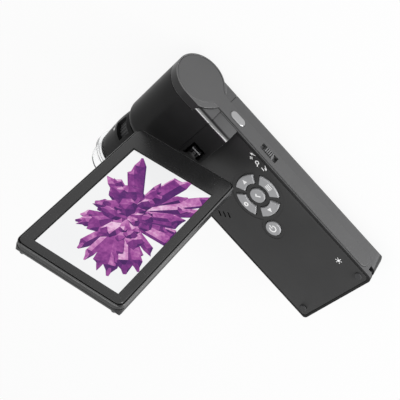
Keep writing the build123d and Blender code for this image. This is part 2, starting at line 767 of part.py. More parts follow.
def battery():
    cell = box(BATTERY_X0, BATTERY_X1, -BATTERY_HALF, BATTERY_HALF, BATTERY_Z0, BATTERY_TOP_Z)
    return fillet(cell.edges().filter_by(Axis.X), 1.2)


def battery_contacts():
    blades = Part()
    z0 = BATTERY_Z0 + 1.2
    for y in (-4.0, 0.0, 4.0):
        blades += box(
            DOOR_X0 - PLAY + LAY, BATTERY_X0 - LAY, y - 0.9, y + 0.9, z0, z0 + 3.0
        )
    return blades


def panel_outline(grow=0.0):
    x0 = BLOCK_END_X + PLAY - grow
    x1 = SLAB_END_X - PANEL_BORDER + grow
    y0 = FAR_Y + PANEL_BORDER - grow
    y1 = SIDE_Y - PANEL_BORDER + grow
    return rounded([(x0, y0), (x1, y0), (x1, y1), (x0, y1)], [0, 2.0, 2.0, 0])


def key_panel():
    panel = along_z(panel_outline(), SLAB_THICK - PANEL_THICK, SLAB_THICK)
    for outline in key_outlines(PLAY).values():
        panel -= along_z(outline, SLAB_THICK - PANEL_THICK - CUT, SLAB_THICK + CUT)
    return panel - along_z(slits(), SLAB_THICK - PANEL_THICK - CUT, SLAB_THICK + CUT)


def bumpers():
    pads = Part()
    x = SLAB_END_X - PAD_END_GAP
    for y in (SIDE_Y - PAD_SIDE_GAP, FAR_Y + PAD_FAR_GAP):
        pads += rod_z(x, y, SLAB_THICK, SLAB_THICK + PAD_THICK, PAD_R)
    return fillet(pads.edges().group_by(Axis.Z)[-1], PAD_THICK * 2 / 3)


def keys():
    """Each key: a cap through the panel, a flange under the shell and a stem."""
    flange_z = FACE_IN_Z - LAY
    stem_end = BOARD_TOP_Z + DOME_THICK + MAT_THICK + 2 * LAY + KEY_TRAVEL + PLAY
    flanges = key_outlines(KEY_FLANGE)
    made = {}
    for name, outline in key_outlines().items():
        key = along_z(outline, flange_z - LAY, SLAB_THICK + KEY_PROUD)
        key = chamfer(key.edges().group_by(Axis.Z)[-1], 0.25)
        key += along_z(flanges[name], flange_z - 0.8, flange_z)
        x, y = key_centre(name)
        made[name] = key + rod_z(x, y, stem_end, flange_z - LAY, DOME_R * 0.75)
    return made


def key_mat():
    z0 = BOARD_TOP_Z + DOME_THICK + LAY
    reach = (RING_KEY_IN + RING_KEY_OUT) / 2 + DOME_R + PLAY
    x0, x1 = KEY_X - reach, POWER_X + DOME_R + PLAY
    y0, y1 = min(POWER_Y - DOME_R, KEY_Y - reach), KEY_Y + reach
    mat = box(x0, x1, y0, y1, z0, z0 + MAT_THICK)
    for x, y in BOARD_SCREWS:
        mat -= rod_z(x, y, z0 - CUT, z0 + MAT_THICK + CUT, POST_R + PLAY)
    return mat


def dome_switches():
    domes = Part()
    for name in key_outlines():
        x, y = key_centre(name)
        domes += rod_z(x, y, BOARD_TOP_Z, BOARD_TOP_Z + DOME_THICK, DOME_R)
    return domes


def main_board():
    board = box(BOARD_X0, BOARD_X1, BOARD_Y0, BOARD_Y1, BOARD_Z0, BOARD_TOP_Z)
    for x, y in CASE_SCREWS:
        board -= rod_z(x, y, BOARD_Z0 - CUT, BOARD_TOP_Z + CUT, POST_R + 0.4)
    for x, y in BOARD_SCREWS:
        board -= rod_z(x, y, BOARD_Z0 - CUT, BOARD_TOP_Z + CUT, SCREW_R + PLAY)
    return board


def screws_up(places, head_z, shank_top):
    """Screws driven upwards: head below, shank above."""
    group = Part()
    for x, y in places:
        screw = rod_z(x, y, head_z, head_z + HEAD_THICK, HEAD_R)
        screw -= Pos(x, y, head_z) * Box(HEAD_R, 0.4, 0.8)
        screw -= Pos(x, y, head_z) * Box(0.4, HEAD_R, 0.8)
        group += screw + rod_z(x, y, head_z + HEAD_THICK, shank_top, SCREW_R)
    return group


def screws_down(places, seat_z, shank_end):
    group = Part()
    for x, y in places:
        screw = rod_z(x, y, seat_z, seat_z + HEAD_THICK, HEAD_R)
        screw -= Pos(x, y, seat_z + HEAD_THICK) * Box(HEAD_R, 0.4, 0.8)
        group += screw + rod_z(x, y, shank_end, seat_z, SCREW_R)
    return group


# x, width along X and height of each socket on the board's far edge
SOCKETS = {"usb_socket": (-15.0, 8.0, 3.0), "card_socket": (18.0, 14.0, 2.6)}
SOCKET_DEPTH = {"usb_socket": 5.6, "card_socket": 14.0}
SOCKET_LIP = 0.4


def socket(name):
    x, width, high = SOCKETS[name]
    y0 = IN_FAR_Y + LAY
    y1 = y0 + SOCKET_DEPTH[name]
    shell = box(x - width / 2, x + width / 2, y0, y1, BOARD_TOP_Z, BOARD_TOP_Z + high)
    return shell - box(
        x - width / 2 + SOCKET_LIP,
        x + width / 2 - SOCKET_LIP,
        y0 - CUT,
        y1 - SOCKET_LIP,
        BOARD_TOP_Z + SOCKET_LIP,
        BOARD_TOP_Z + high - SOCKET_LIP,
    )


def speaker():
    body = rod_z(SPEAKER_X, SPEAKER_Y, BOARD_TOP_Z, FACE_IN_Z - LAY, SPEAKER_R)
    return body - rod_z(SPEAKER_X, SPEAKER_Y, FACE_IN_Z - 1, FACE_IN_Z, SPEAKER_R - 1)


def side_switches():
    """Tact switch behind the snapshot button and slide switch behind the zoom knob."""
    y1 = BOARD_Y1 - LAY
    y0, z1 = y1 - SWITCH_DEPTH, BOARD_TOP_Z + SWITCH_HIGH
    switches = Part()
    for x, half in ((SHOT_X, SHOT_SWITCH_HALF), (ZOOM_X, ZOOM_SWITCH_HALF)):
        switches += box(x - half, x + half, y0, y1, BOARD_TOP_Z, z1)
    return switches


def snapshot_button():
    face_y = PLATE_Y + SHOT_PROUD
    cap = along_y(oblong(SHOT_X, SIDE_KEY_Z, SHOT_LENGTH, SHOT_WIDTH), IN_SIDE_Y - LAY, face_y)
    cap = chamfer(cap.edges().group_by(Axis.Y)[-1], 0.3)
    rim = oblong(SHOT_X, SIDE_KEY_Z, SHOT_LENGTH + 0.8, SHOT_WIDTH + 0.8)
    cap += along_y(rim, IN_SIDE_Y - LAY - 0.7, IN_SIDE_Y - LAY)
    end = BOARD_Y1 + SHOT_TRAVEL + LAY
    return cap + rod_y(SHOT_X, SIDE_KEY_Z, end, IN_SIDE_Y - LAY, 1.2)


def zoom_slider():
    """U-shaped knob in the slot, a stem through the casing and a retaining plate."""
    half, high = ZOOM_KNOB_LENGTH / 2, ZOOM_SLOT_WIDTH / 2 - PLAY
    y0 = PLATE_IN_Y + LAY
    z = SIDE_KEY_Z
    knob = box(ZOOM_X - half, ZOOM_X + half, y0, y0 + 0.7, z - high, z + high)
    for i in range(-2, 3):
        x = ZOOM_X + i * ZOOM_KNOB_LENGTH / 6
        knob += box(x - 0.3, x + 0.3, y0 + 0.7, PLATE_Y + 0.2, z - high, z + high * 0.7)
    stem = box(
        ZOOM_X - ZOOM_STEM_HALF,
        ZOOM_X + ZOOM_STEM_HALF,
        IN_SIDE_Y - LAY,
        y0,
        z - ZOOM_STEM_HALF,
        z + ZOOM_STEM_HALF,
    )
    keep = box(ZOOM_X - 4.6, ZOOM_X + 4.6, IN_SIDE_Y - 0.8, IN_SIDE_Y - LAY, z - 2.2, z + 2.2)
    return knob + stem + keep


def lanyard_bar():
    x, y = bar_place()
    return rod_z(x, y, NOTCH_Z0 - WALL, NOTCH_Z1 + WALL, BAR_R - LAY / 2)


# ---------------------------------------------------------------- screen hinge


def hinge_cover():
    def form(inset):
        y0, y1 = FAR_Y + inset, SIDE_Y - inset
        z0 = SLAB_THICK if inset == 0 else SLAB_THICK - CUT
        z1 = BLOCK_TOP_Z - inset
        r = NECK_ROUND - inset
        return rounded([(y0, z0), (y1, z0), (y1, z1), (y0, z1)], [0, 0, r, r])

    cover = along_x(form(0), SEAM_X, BLOCK_END_X)
    cover -= along_x(form(WALL), SEAM_X - CUT, BLOCK_END_X - WALL / 2)
    return cover - box(
        HINGE_X - WINDOW_HALF_X,
        HINGE_X + WINDOW_HALF_X,
        -WINDOW_HALF_Y,
        WINDOW_HALF_Y,
        BLOCK_TOP_Z - WALL - CUT,
        BLOCK_TOP_Z + CUT,
    )


def hinge_bracket():
    z0 = SLAB_THICK
    y1 = EAR_Y1
    half, foot = WINDOW_HALF_X + BRACKET_LAP, EAR_Y1 + BRACKET_FOOT
    bracket = box(HINGE_X - half, HINGE_X + half, -foot, foot, z0, z0 + BRACKET_THICK)
    for y in (-y1, EAR_Y0):
        bracket += box(HINGE_X - EAR_HALF, HINGE_X + EAR_HALF, y, y + EAR_THICK, z0, HINGE_Z)
        bracket += rod_y(HINGE_X, HINGE_Z, y, y + EAR_THICK, EAR_HALF)
    bracket -= rod_y(HINGE_X, HINGE_Z, -y1 - CUT, y1 + CUT, PIN_R)
    for x, y in BRACKET_SCREWS:
        bracket -= rod_z(x, y, z0 - CUT, z0 + BRACKET_THICK + CUT, SCREW_R + LAY)
    return bracket


def hinge_pin():
    reach = EAR_Y1 + PIN_END
    return rod_y(HINGE_X, HINGE_Z, -reach, reach, PIN_R)


def hinge_springs():
    """Friction spring stack on the pin at each end of the knuckle."""
    stacks = Part()
    y0, y1 = KNUCKLE_HALF + RUN, EAR_Y0
    for a, b in ((-y1, -y0), (y0, y1)):
        stacks += rod_y(HINGE_X, HINGE_Z, a, b, SPRING_R)
    return stacks - rod_y(HINGE_X, HINGE_Z, -y1 - CUT, y1 + CUT, PIN_R)


def hinge_knuckle():
    body = rod_y(HINGE_X, HINGE_Z, -KNUCKLE_HALF, KNUCKLE_HALF, KNUCKLE_R)
    top = HINGE_Z + KNUCKLE_FLAT
    body -= box(
        HINGE_X - KNUCKLE_R,
        HINGE_X + KNUCKLE_R,
        -KNUCKLE_HALF - CUT,
        KNUCKLE_HALF + CUT,
        top,
        HINGE_Z + KNUCKLE_R + CUT,
    )
    body -= rod_y(HINGE_X, HINGE_Z, -KNUCKLE_HALF - CUT, KNUCKLE_HALF + CUT, PIN_R + RUN)
    body -= rod_z(HINGE_X, 0, HINGE_Z + PIN_R + SHAFT_SEAT, top + CUT, SHAFT_R)
    clip = clip_box(LAY)
    return body - clip - rod_z(HINGE_X, KNUCKLE_SCREW_Y, top - 1.5, top + CUT, 0.6)


KNUCKLE_SCREW_Y = 3.4
CLIP_Y = 5.2
CLIP_HALF = 1.4


def clip_box(grow=0.0):
    top = HINGE_Z + KNUCKLE_FLAT
    return box(
        HINGE_X - CLIP_HALF - grow,
        HINGE_X + CLIP_HALF + grow,
        CLIP_Y - 0.4 - grow,
        CLIP_Y + 0.4 + grow,
        top - 1.0 - grow,
        top + 0.15,
    )


def knuckle_clip():
    return clip_box()


def knuckle_screw():
    top = HINGE_Z + KNUCKLE_FLAT
    screw = rod_z(HINGE_X, KNUCKLE_SCREW_Y, top, top + 0.35, 0.85)
    return screw + rod_z(HINGE_X, KNUCKLE_SCREW_Y, top - 1.5, top, 0.6)


def swivel_shaft():
    z1 = LCD_Z0 + COVER_WALL + CLIP_THICK + SHAFT_END
    return rod_z(HINGE_X, 0, HINGE_Z + PIN_R + SHAFT_SEAT, z1, SHAFT_R)


def ring_z(z0, z1, r, bore):
    ring = rod_z(HINGE_X, 0, z0, z1, r)
    return ring - rod_z(HINGE_X, 0, z0 - CUT, z1 + CUT, bore)


def swivel_washer():
    return ring_z(HINGE_Z + KNUCKLE_FLAT + LAY, COLLAR_Z0 - RUN, WASHER_R, SHAFT_R)


def swivel_clip():
    z0 = LCD_Z0 + COVER_WALL + RUN
    return ring_z(z0, z0 + CLIP_THICK, CLIP_R, SHAFT_R)


# ---------------------------------------------------------------- screen
# In this section X is across the screen and Y its normal; place() turns it.


def place(solid):
    return Pos(HINGE_X, 0, 0) * Rot(0, 0, LCD_TURN) * solid


def lcd_shape(front, back):
    """The screen's form with its walls taken off: round back edges and a swept far end."""
    y0, y1 = -LCD_BACK + back, LCD_FRONT - front
    x1, z0, z1 = LCD_HALF - back, LCD_Z0 + back, LCD_TOP_Z - back
    side, end = LCD_SIDE_ROUND - back, LCD_END_ROUND - back
    plan = rounded([(-x1, y0), (x1, y0), (x1, y1), (-x1, y1)], [side, side, 0.4, 0.4])
    edge = rounded([(y0, z0), (y1, z0), (y1, z1), (y0, z1)], [0.8, 0.4, 0.4, end])
    return along_z(plan, z0, z1) & along_x(edge, -x1 - CUT, x1 + CUT)


def lcd_form():
    x1, z0, z1 = LCD_HALF, LCD_Z0, LCD_TOP_Z
    face = rounded([(-x1, z0), (x1, z0), (x1, z1), (-x1, z1)], [LCD_CORNER] * 4)
    return lcd_shape(0, 0) & along_y(face, -LCD_BACK - CUT, LCD_FRONT + CUT)


def lcd_hollow():
    return lcd_shape(BEZEL_WALL, COVER_WALL)


def lcd_half(front):
    y0, y1 = (LCD_SPLIT, LCD_FRONT + CUT) if front else (-LCD_BACK - CUT, LCD_SPLIT)
    return box(-LCD_HALF - CUT, LCD_HALF + CUT, y0, y1, LCD_Z0 - CUT, LCD_TOP_Z + CUT)


def lcd_posts(y0, y1, r):
    posts = Part()
    for x, z in LCD_SCREWS:
        posts += rod_y(x, z, y0, y1, r)
    return posts


LCD_SCREWS = [
    (side * (LCD_HALF - LCD_POST_SIDE), z)
    for side in (-1, 1)
    for z in (LCD_Z0 + LCD_POST_LOW, LCD_TOP_Z - LCD_POST_TOP)
]


def shaft_hole():
    return rod_z(0, 0, COLLAR_Z0 - CUT, LCD_Z0 + COVER_WALL + CUT, SHAFT_R + RUN)


def lcd_bezel():
    bezel = (lcd_form() & lcd_half(True)) - lcd_hollow()
    bezel -= box(VIEW_U0, VIEW_U1, LCD_FRONT - BEZEL_WALL - CUT, LCD_FRONT + CUT, VIEW_Z0, VIEW_Z1)
    y1 = LCD_FRONT - BEZEL_WALL
    bezel += lcd_posts(LCD_SPLIT, y1 + LAY, LCD_POST_R)
    bezel -= lcd_posts(LCD_SPLIT - CUT, y1 - 0.6, LCD_SCREW_R)
    return place(bezel - shaft_hole())


def lcd_rear_cover():
    cover = (lcd_form() & lcd_half(False)) - lcd_hollow()
    inner = -LCD_BACK + COVER_WALL
    cover += lcd_posts(inner - LAY, LCD_SPLIT, LCD_POST_R)
    cover -= lcd_posts(-LCD_BACK - CUT, -LCD_BACK + LCD_HEAD_DEPTH, LCD_HEAD_R + LAY)
    cover -= lcd_posts(-LCD_BACK, LCD_SPLIT + CUT, LCD_SCREW_R + LAY)
    # neck: a cone that clears the hinge block at every swivel angle, and a collar
    z0 = COLLAR_Z0 + COLLAR_RISE
    cone = Pos(0, 0, (z0 + LCD_Z0) / 2) * Cone(COLLAR_R, NECK_CONE_R, LCD_Z0 - z0)
    y0, y1 = -LCD_BACK + NECK_CONE_SET, LCD_FRONT - NECK_CONE_SET
    cone = cone & box(-LCD_HALF, LCD_HALF, y0, y1, z0, LCD_Z0)
    cover += cone + rod_z(0, 0, COLLAR_Z0, z0, COLLAR_R)
    return place(cover - shaft_hole())


def lcd_stack(y0, y1, lap):
    """One flat layer behind the screen's opening."""
    return place(box(VIEW_U0 - lap, VIEW_U1 + lap, y0, y1, VIEW_Z0 - lap, VIEW_Z1 + lap))


def lcd_glass():
    y1 = LCD_FRONT - BEZEL_WALL - LAY
    return lcd_stack(y1 - GLASS_THICK, y1, GLASS_LAP)


def lcd_backlight():
    y1 = LCD_FRONT - BEZEL_WALL - 2 * LAY - GLASS_THICK
    return lcd_stack(y1 - BACKLIGHT_THICK, y1, GLASS_LAP)


def lcd_board():
    y0 = -LCD_BACK + COVER_WALL + LAY
    return lcd_stack(y0, y0 + LCD_BOARD_THICK, GLASS_LAP)


def lcd_screws():
    y0 = -LCD_BACK + LCD_HEAD_DEPTH
    head_y = y0 - LCD_HEAD_THICK
    group = lcd_posts(head_y, y0, LCD_HEAD_R)
    for x, z in LCD_SCREWS:
        group -= Pos(x, head_y, z) * Box(1.4, 0.6, 0.3)
        group -= Pos(x, head_y, z) * Box(0.3, 0.6, 1.4)
    return place(group + lcd_posts(y0, LCD_FRONT - BEZEL_WALL - 0.6, LCD_SCREW_R))


# ---------------------------------------------------------------- nose


def nose_sleeve():
    y0 = BARREL_END_Y
    pocket = WHEEL_R + 2 * PLAY
    wheel_y1, wheel_y0 = WHEEL_Y1 + 2 * PLAY, WHEEL_Y0 - 2 * PLAY
    seat_y = NOSE_END_Y + LED_SEAT
    guide = CARRIAGE_R + RUN
    sleeve = turned(
        [
            (guide, y0 + WALL + SPIGOT_LENGTH),
            (SPIGOT_R, y0 + WALL + SPIGOT_LENGTH),
            (SPIGOT_R, y0 - LAY),
            (NOSE_NECK_R, y0 - LAY),
            (NOSE_R - NOSE_NECK_SET / 2, y0 - NOSE_COLLAR),
            (NOSE_R - NOSE_NECK_SET / 6, y0 - NOSE_SHOULDER),
            (NOSE_R, y0 - NOSE_FULL),
            (NOSE_R, y0 - NOSE_TAPER),
            (NOSE_MID_R, y0 - NOSE_MID),
            (NOSE_END_R, NOSE_END_Y),
            (LED_RING_R + LAY, NOSE_END_Y),
            (LED_RING_R + LAY, seat_y),
            (LED_RING_R - LED_RING_LEDGE, seat_y),
            (LED_RING_R - LED_RING_LEDGE, wheel_y0 - WALL),
            (guide, wheel_y0 - WALL),
        ]
    )
    sleeve -= turned([(0, wheel_y0), (pocket, wheel_y0), (pocket, wheel_y1), (0, wheel_y1)])
    # thumb window over the wheel
    start, end = radians(NOSE_WINDOW_FROM), radians(NOSE_WINDOW_TO)
    reach = 2 * NOSE_R
    wedge = make_face(
        Polyline(
            (0, 0),
            (-reach * sin(start), reach * cos(start)),
            (-reach * sin(end), reach * cos(end)),
            close=True,
        )
    )
    wedge = Pos(BARREL_X, BARREL_R) * wedge
    window = along_y(wedge, wheel_y0, wheel_y1)
    core = rod_y(BARREL_X, BARREL_R, wheel_y0 - CUT, wheel_y1 + CUT, pocket - LAY)
    return sleeve - (window - core)


def focus_wheel():
    wheel = rod_y(BARREL_X, BARREL_R, WHEEL_Y0, WHEEL_Y1, WHEEL_R)
    cutters = Part()
    for i in range(WHEEL_GROOVES):
        turn = 2 * pi * i / WHEEL_GROOVES
        x = BARREL_X + WHEEL_R * sin(turn)
        z = BARREL_R + WHEEL_R * cos(turn)
        cutters += rod_y(x, z, WHEEL_Y0 - CUT, WHEEL_Y1 + CUT, WHEEL_GROOVE_R)
    wheel -= cutters
    bore = CARRIAGE_R + RUN
    return wheel - rod_y(BARREL_X, BARREL_R, WHEEL_Y0 - CUT, WHEEL_Y1 + CUT, bore)


def lens_carriage():
    y0, y1 = CARRIAGE_FRONT_Y, CARRIAGE_FRONT_Y + CARRIAGE_LENGTH
    bore = CARRIAGE_R - CARRIAGE_WALL
    return turned(
        [
            (bore, y0),
            (CARRIAGE_R, y0),
            (CARRIAGE_R, y1),
            (bore, y1),
            (bore, y1 - LENS_THICK - LAY),
            (bore - LENS_STOP, y1 - LENS_THICK - LAY),
            (bore - LENS_STOP, y0 + LENS_THICK + LAY),
            (bore, y0 + LENS_THICK + LAY),
        ]
    )


def lenses():
    """Front and rear lens in the ends of the carriage."""
    r = CARRIAGE_R - CARRIAGE_WALL - LAY / 2
    y0, y1 = CARRIAGE_FRONT_Y, CARRIAGE_FRONT_Y + CARRIAGE_LENGTH
    front = rod_y(BARREL_X, BARREL_R, y0, y0 + LENS_THICK, r)
    rear = rod_y(BARREL_X, BARREL_R, y1 - LENS_THICK, y1, r)
    return front, rear


def led_ring():
    y1 = NOSE_END_Y + LED_SEAT
    ring = rod_y(BARREL_X, BARREL_R, y1 - LED_RING_THICK, y1, LED_RING_R)
    return ring - rod_y(BARREL_X, BARREL_R, y1 - 3 * CUT, y1 + CUT, LED_RING_BORE)


def leds():
    group = Part()
    y1 = NOSE_END_Y + LED_SEAT - LED_RING_THICK
    for i in range(LED_COUNT):
        turn = 360 * i / LED_COUNT
        led = Pos(0, y1 - LED_THICK / 2, LED_PITCH_R) * Box(LED_SIZE, LED_THICK, LED_SIZE)
        group += Pos(BARREL_X, 0, BARREL_R) * Rot(0, turn, 0) * led
    return group


def clear_tip():
    y0 = NOSE_END_Y + TIP_FLANGE_DEPTH
    face = NOSE_END_Y - LAY
    end = face - TIP_LENGTH
    bore = TIP_R - TIP_WALL
    return turned(
        [
            (NOSE_END_R + LAY + TIP_CLEAR, y0),
            (TIP_FLANGE_R, y0),
            (TIP_FLANGE_R, face - TIP_FACE),
            (TIP_R, face - TIP_FACE),
            (TIP_R, end),
            (bore, end),
            (bore, face),
            (NOSE_END_R + LAY + TIP_CLEAR, face),
        ]
    )


# ---------------------------------------------------------------- sensor


def sensor_board():
    y0 = WEB_Y + WEB_THICK + LAY
    r = HOUSING_BORE - PLAY
    return rod_y(BARREL_X, BARREL_R, y0, y0 + SENSOR_BOARD_THICK, r)


def image_sensor():
    y1 = WEB_Y + WEB_THICK + LAY
    half = SENSOR_SIZE / 2
    return box(
        BARREL_X - half,
        BARREL_X + half,
        y1 - SENSOR_THICK,
        y1,
        BARREL_R - half,
        BARREL_R + half,
    )


def main():
    os.makedirs("parts", exist_ok=True)
    write(barrel_housing(), "barrel_housing")
    write(end_ring(), "barrel_end_ring")
    write(side_plate(), "side_plate")
    write(front_shell(), "front_shell")
    write(rear_shell(), "rear_shell")
    write(hinge_cover(), "hinge_cover")
    write(key_panel(), "key_panel")
    write(bumpers(), "bumper_pads")
    for name, key in keys().items():
        write(key, name)
    write(key_mat(), "key_mat")
    write(dome_switches(), "dome_switches")
    write(main_board(), "main_board")
    write(screws_up(BOARD_SCREWS, BOARD_Z0 - HEAD_THICK, FACE_IN_Z - SCREW_TIP_GAP), "board_screws")
    write(screws_up(CASE_SCREWS, HEAD_Z0, FACE_IN_Z - SCREW_TIP_GAP), "case_screws")
    write(speaker(), "speaker")
    for name in SOCKETS:
        write(socket(name), name)
    write(side_switches(), "side_switches")
    write(snapshot_button(), "snapshot_button")
    write(zoom_slider(), "zoom_slider")
    write(lanyard_bar(), "lanyard_bar")
    write(battery(), "battery")
    write(battery_contacts(), "battery_contacts")
    write(battery_door(), "battery_door")
    write(hinge_bracket(), "hinge_bracket")
    bracket_top = SLAB_THICK + BRACKET_THICK
    write(screws_down(BRACKET_SCREWS, bracket_top, BRACKET_SCREW_END), "bracket_screws")
    write(hinge_pin(), "hinge_pin")
    write(hinge_springs(), "hinge_springs")
    write(hinge_knuckle(), "hinge_knuckle")
    write(knuckle_clip(), "knuckle_clip")
    write(knuckle_screw(), "knuckle_screw")
    write(swivel_shaft(), "swivel_shaft")
    write(swivel_washer(), "swivel_washer")
    write(swivel_clip(), "swivel_clip")
    write(lcd_bezel(), "lcd_bezel")
    write(lcd_rear_cover(), "lcd_rear_cover")
    write(lcd_glass(), "lcd_glass")
    write(lcd_backlight(), "lcd_backlight")
    write(lcd_board(), "lcd_board")
    write(lcd_screws(), "lcd_screws")
    write(nose_sleeve(), "nose_sleeve")
    write(focus_wheel(), "focus_wheel")
    write(lens_carriage(), "lens_carriage")
    front_lens, rear_lens = lenses()
    write(front_lens, "front_lens")
    write(rear_lens, "rear_lens")
    write(led_ring(), "led_ring")
    write(leds(), "leds")
    write(clear_tip(), "clear_tip")
    write(sensor_board(), "sensor_board")
    write(image_sensor(), "image_sensor")


main()
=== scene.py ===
import math
import random

import bmesh
import bpy
from mathutils import Matrix, Vector


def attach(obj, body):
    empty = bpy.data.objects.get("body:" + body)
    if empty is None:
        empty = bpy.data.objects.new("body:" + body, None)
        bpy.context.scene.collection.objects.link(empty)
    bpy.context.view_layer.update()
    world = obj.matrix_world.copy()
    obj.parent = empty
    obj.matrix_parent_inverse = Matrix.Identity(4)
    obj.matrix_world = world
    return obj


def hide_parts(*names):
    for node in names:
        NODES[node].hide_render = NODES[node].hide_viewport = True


bl_info = {
    "name": "Screen microscope",
    "version": (1, 0, 0),
    "blender": (4, 5, 0),
    "location": "View3D > Sidebar > Microscope",
    "description": "Finishes the packed model of a handheld digital microscope",
    "category": "Object",
}

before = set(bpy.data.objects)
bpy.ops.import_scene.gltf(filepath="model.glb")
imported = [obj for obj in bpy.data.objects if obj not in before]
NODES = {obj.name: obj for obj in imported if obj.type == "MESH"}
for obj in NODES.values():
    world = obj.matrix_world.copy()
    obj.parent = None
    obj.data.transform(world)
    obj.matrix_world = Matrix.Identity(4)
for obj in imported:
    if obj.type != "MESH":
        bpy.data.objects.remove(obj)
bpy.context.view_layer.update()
MM = 0.001

# Places on the microscope, in millimetres
BARREL = (-60.0, 13.5)          # x and z of the optics barrel's axis
SWIVEL_X = -36.2
HINGE_BLOCK = (-42.3, -30.4)    # seam with the neck, end on the slab
SIDES = (-27.0, 26.2)           # casing's far and near side
SIDE_FLAT = 24.5                # the near side's flat begins here
FOLD = (20.0, 22.0)             # the smooth fold lies past this y and z
BLOCK_TOP = 27.0
BLOCK_WALL = 1.6
WINDOW = (4.05, 8.8)            # half sizes of the hinge window
CLIP = ((-2.55, 4.85, 25.2), (2.55, 5.5, 26.75))    # corners, x from the swivel axis
KEY_CENTRE = (-0.5, 7.9)
KEY_RING = (6.8, 11.8, 35.0)    # inner and outer radius, half span in degrees
KEY_TURNS = (0, 90, 180, 270)
KEY_ROUND = 4.0
POWER_CENTRE = (17.0, 0.7)
DISHES = ((KEY_CENTRE, 14.2), (POWER_CENTRE, 6.3))
DISH_DEPTH = 0.16
PANEL = ((-30.13, -25.58), (62.98, 24.78))
PANEL_Z = 18.6
PANEL_THICK = 0.9
PANEL_CORNER = 1.9
SPEAKER = (-2.8, -18.4)         # middle one of three slots
SLOT_SIZE = (3.4, 0.9)
SLOT_PITCH = 2.65
SLOT_ROW, SLOT_TURN = 49.5, -25     # turn of the row and of each slot, in degrees
KEY_TOP_Z = 19.3
LAMP_MARK = (47.8, 18.5)
NOSE_R = 12.6
TIP_R = 11.0
TIP_EDGE = -53.2
PRINT_GAP = 0.005               # between a print and what it is on

# Screen, measured across, along its normal and up from the swivel axis
SCREEN_TURN = math.radians(24.15)
SCREEN_HALF = 27.65
SCREEN_FOOT = 30.5
SCREEN_TOP = 127.6
SCREEN_FRONT = 3.4
SCREEN_SPLIT = 0.2
SCREEN_LEDGE = 2.75             # front of the rim outside the groove
GROOVE_DEPTH = 0.6
GLASS_FRONT = 2.4
HOLLOW = (-26.25, 26.25, 31.9, 126.2)
VIEW = (-21.15, 22.45, 44.7, 122.2)      # the picture: left, right, low, high
PICTURE_RELIEF = 0.3
CLUSTER = (0.8, 82.0)           # middle of the crystals, across and up
GOLDEN_TURN = 2.399963          # angle that spreads them evenly, in radians
SCREEN_POSTS = ((-23.85, 36.0), (23.85, 36.0), (-23.85, 125.3), (23.85, 125.3))
POST_R, THREAD_R, SHAFT_R = 1.5, 0.7, 1.85

# Camera, in metres
CAMERA_PLACE = (-0.05753, 0.39541, 0.40534)
CAMERA_AXES = (                 # right, up, back
    (0.672987, 0.536072, -0.509622),
    (-0.736059, 0.417534, -0.532806),
    (-0.072838, 0.733684, 0.675576),
)


# ---------------------------------------------------------------- settings


class CasingSettings(bpy.types.PropertyGroup):
    """Finish of the moulded pieces."""

    casing: bpy.props.FloatVectorProperty(
        name="Casing", description="Colour of the moulded casing",
        subtype="COLOR", size=3, min=0, max=1, default=(0.011, 0.011, 0.0113),
    )
    trim: bpy.props.FloatVectorProperty(
        name="Side trim", description="Colour of the disc and strip along the side",
        subtype="COLOR", size=3, min=0, max=1, default=(0.068, 0.068, 0.069),
    )
    keys: bpy.props.FloatVectorProperty(
        name="Keys", description="Colour of the round key group",
        subtype="COLOR", size=3, min=0, max=1, default=(0.32, 0.322, 0.33),
    )
    gap: bpy.props.FloatProperty(
        name="Key gap", description="Gap round each key in the panel",
        subtype="DISTANCE", unit="LENGTH", default=0.42 * MM,
    )
    grain: bpy.props.FloatProperty(
        name="Grain", description="Size of the moulded grain",
        subtype="DISTANCE", unit="LENGTH", default=0.16 * MM,
    )


class ScreenSettings(bpy.types.PropertyGroup):
    """Bezel and picture of the screen."""

    step: bpy.props.FloatProperty(
        name="Step", description="From the screen's outline to the raised face",
        subtype="DISTANCE", unit="LENGTH", default=1.0 * MM,
    )
    corner: bpy.props.FloatProperty(
        name="Corner", description="Radius of the bezel's corners",
        subtype="DISTANCE", unit="LENGTH", default=2.9 * MM,
    )
    groove: bpy.props.FloatProperty(
        name="Groove", description="Width of the groove between rim and face",
        subtype="DISTANCE", unit="LENGTH", default=0.45 * MM,
    )
    # painted shade: a near black strip on the glass beside the opening's edge
    mask: bpy.props.FloatProperty(
        name="Mask", description="Black border on the glass beside the picture",
        subtype="DISTANCE", unit="LENGTH", default=0.4 * MM,
    )
    crystals: bpy.props.IntProperty(
        name="Crystals", description="How many crystals the picture shows",
        default=58, min=1,
    )
    seed: bpy.props.IntProperty(
        name="Seed", description="Another number lays the crystals out anew", default=11,
    )
    white: bpy.props.FloatVectorProperty(
        name="Picture ground", description="Colour behind the crystals",
        subtype="COLOR", size=3, min=0, max=1, default=(0.85, 0.855, 0.86),
    )


class PrintSettings(bpy.types.PropertyGroup):
    """Printed marks on keys, panel and nose."""

    ink: bpy.props.FloatVectorProperty(
        name="Ink", description="Colour of the printed marks",
        subtype="COLOR", size=3, min=0, max=1, default=(0.9, 0.9, 0.9),
    )
    thickness: bpy.props.FloatProperty(
        name="Thickness", description="How far the print stands proud",
        subtype="DISTANCE", unit="LENGTH", default=0.03 * MM,
    )


class StageSettings(bpy.types.PropertyGroup):
    """Floor, light and camera."""

    top: bpy.props.FloatProperty(
        name="Top light", description="Power of the long light overhead",
        subtype="POWER", unit="POWER", default=1.5, min=0,
    )
    side: bpy.props.FloatProperty(
        name="Side light", description="Power of the light on the strip's side",
        subtype="POWER", unit="POWER", default=6.5, min=0,
    )
    sky: bpy.props.FloatProperty(
        name="Room light", description="Strength of the even light all round",
        default=0.5, min=0,
    )
    lens: bpy.props.FloatProperty(
        name="Lens", description="Focal length of the camera",
        subtype="DISTANCE_CAMERA", default=103.2, min=1,
    )


# ---------------------------------------------------------------- shader maths


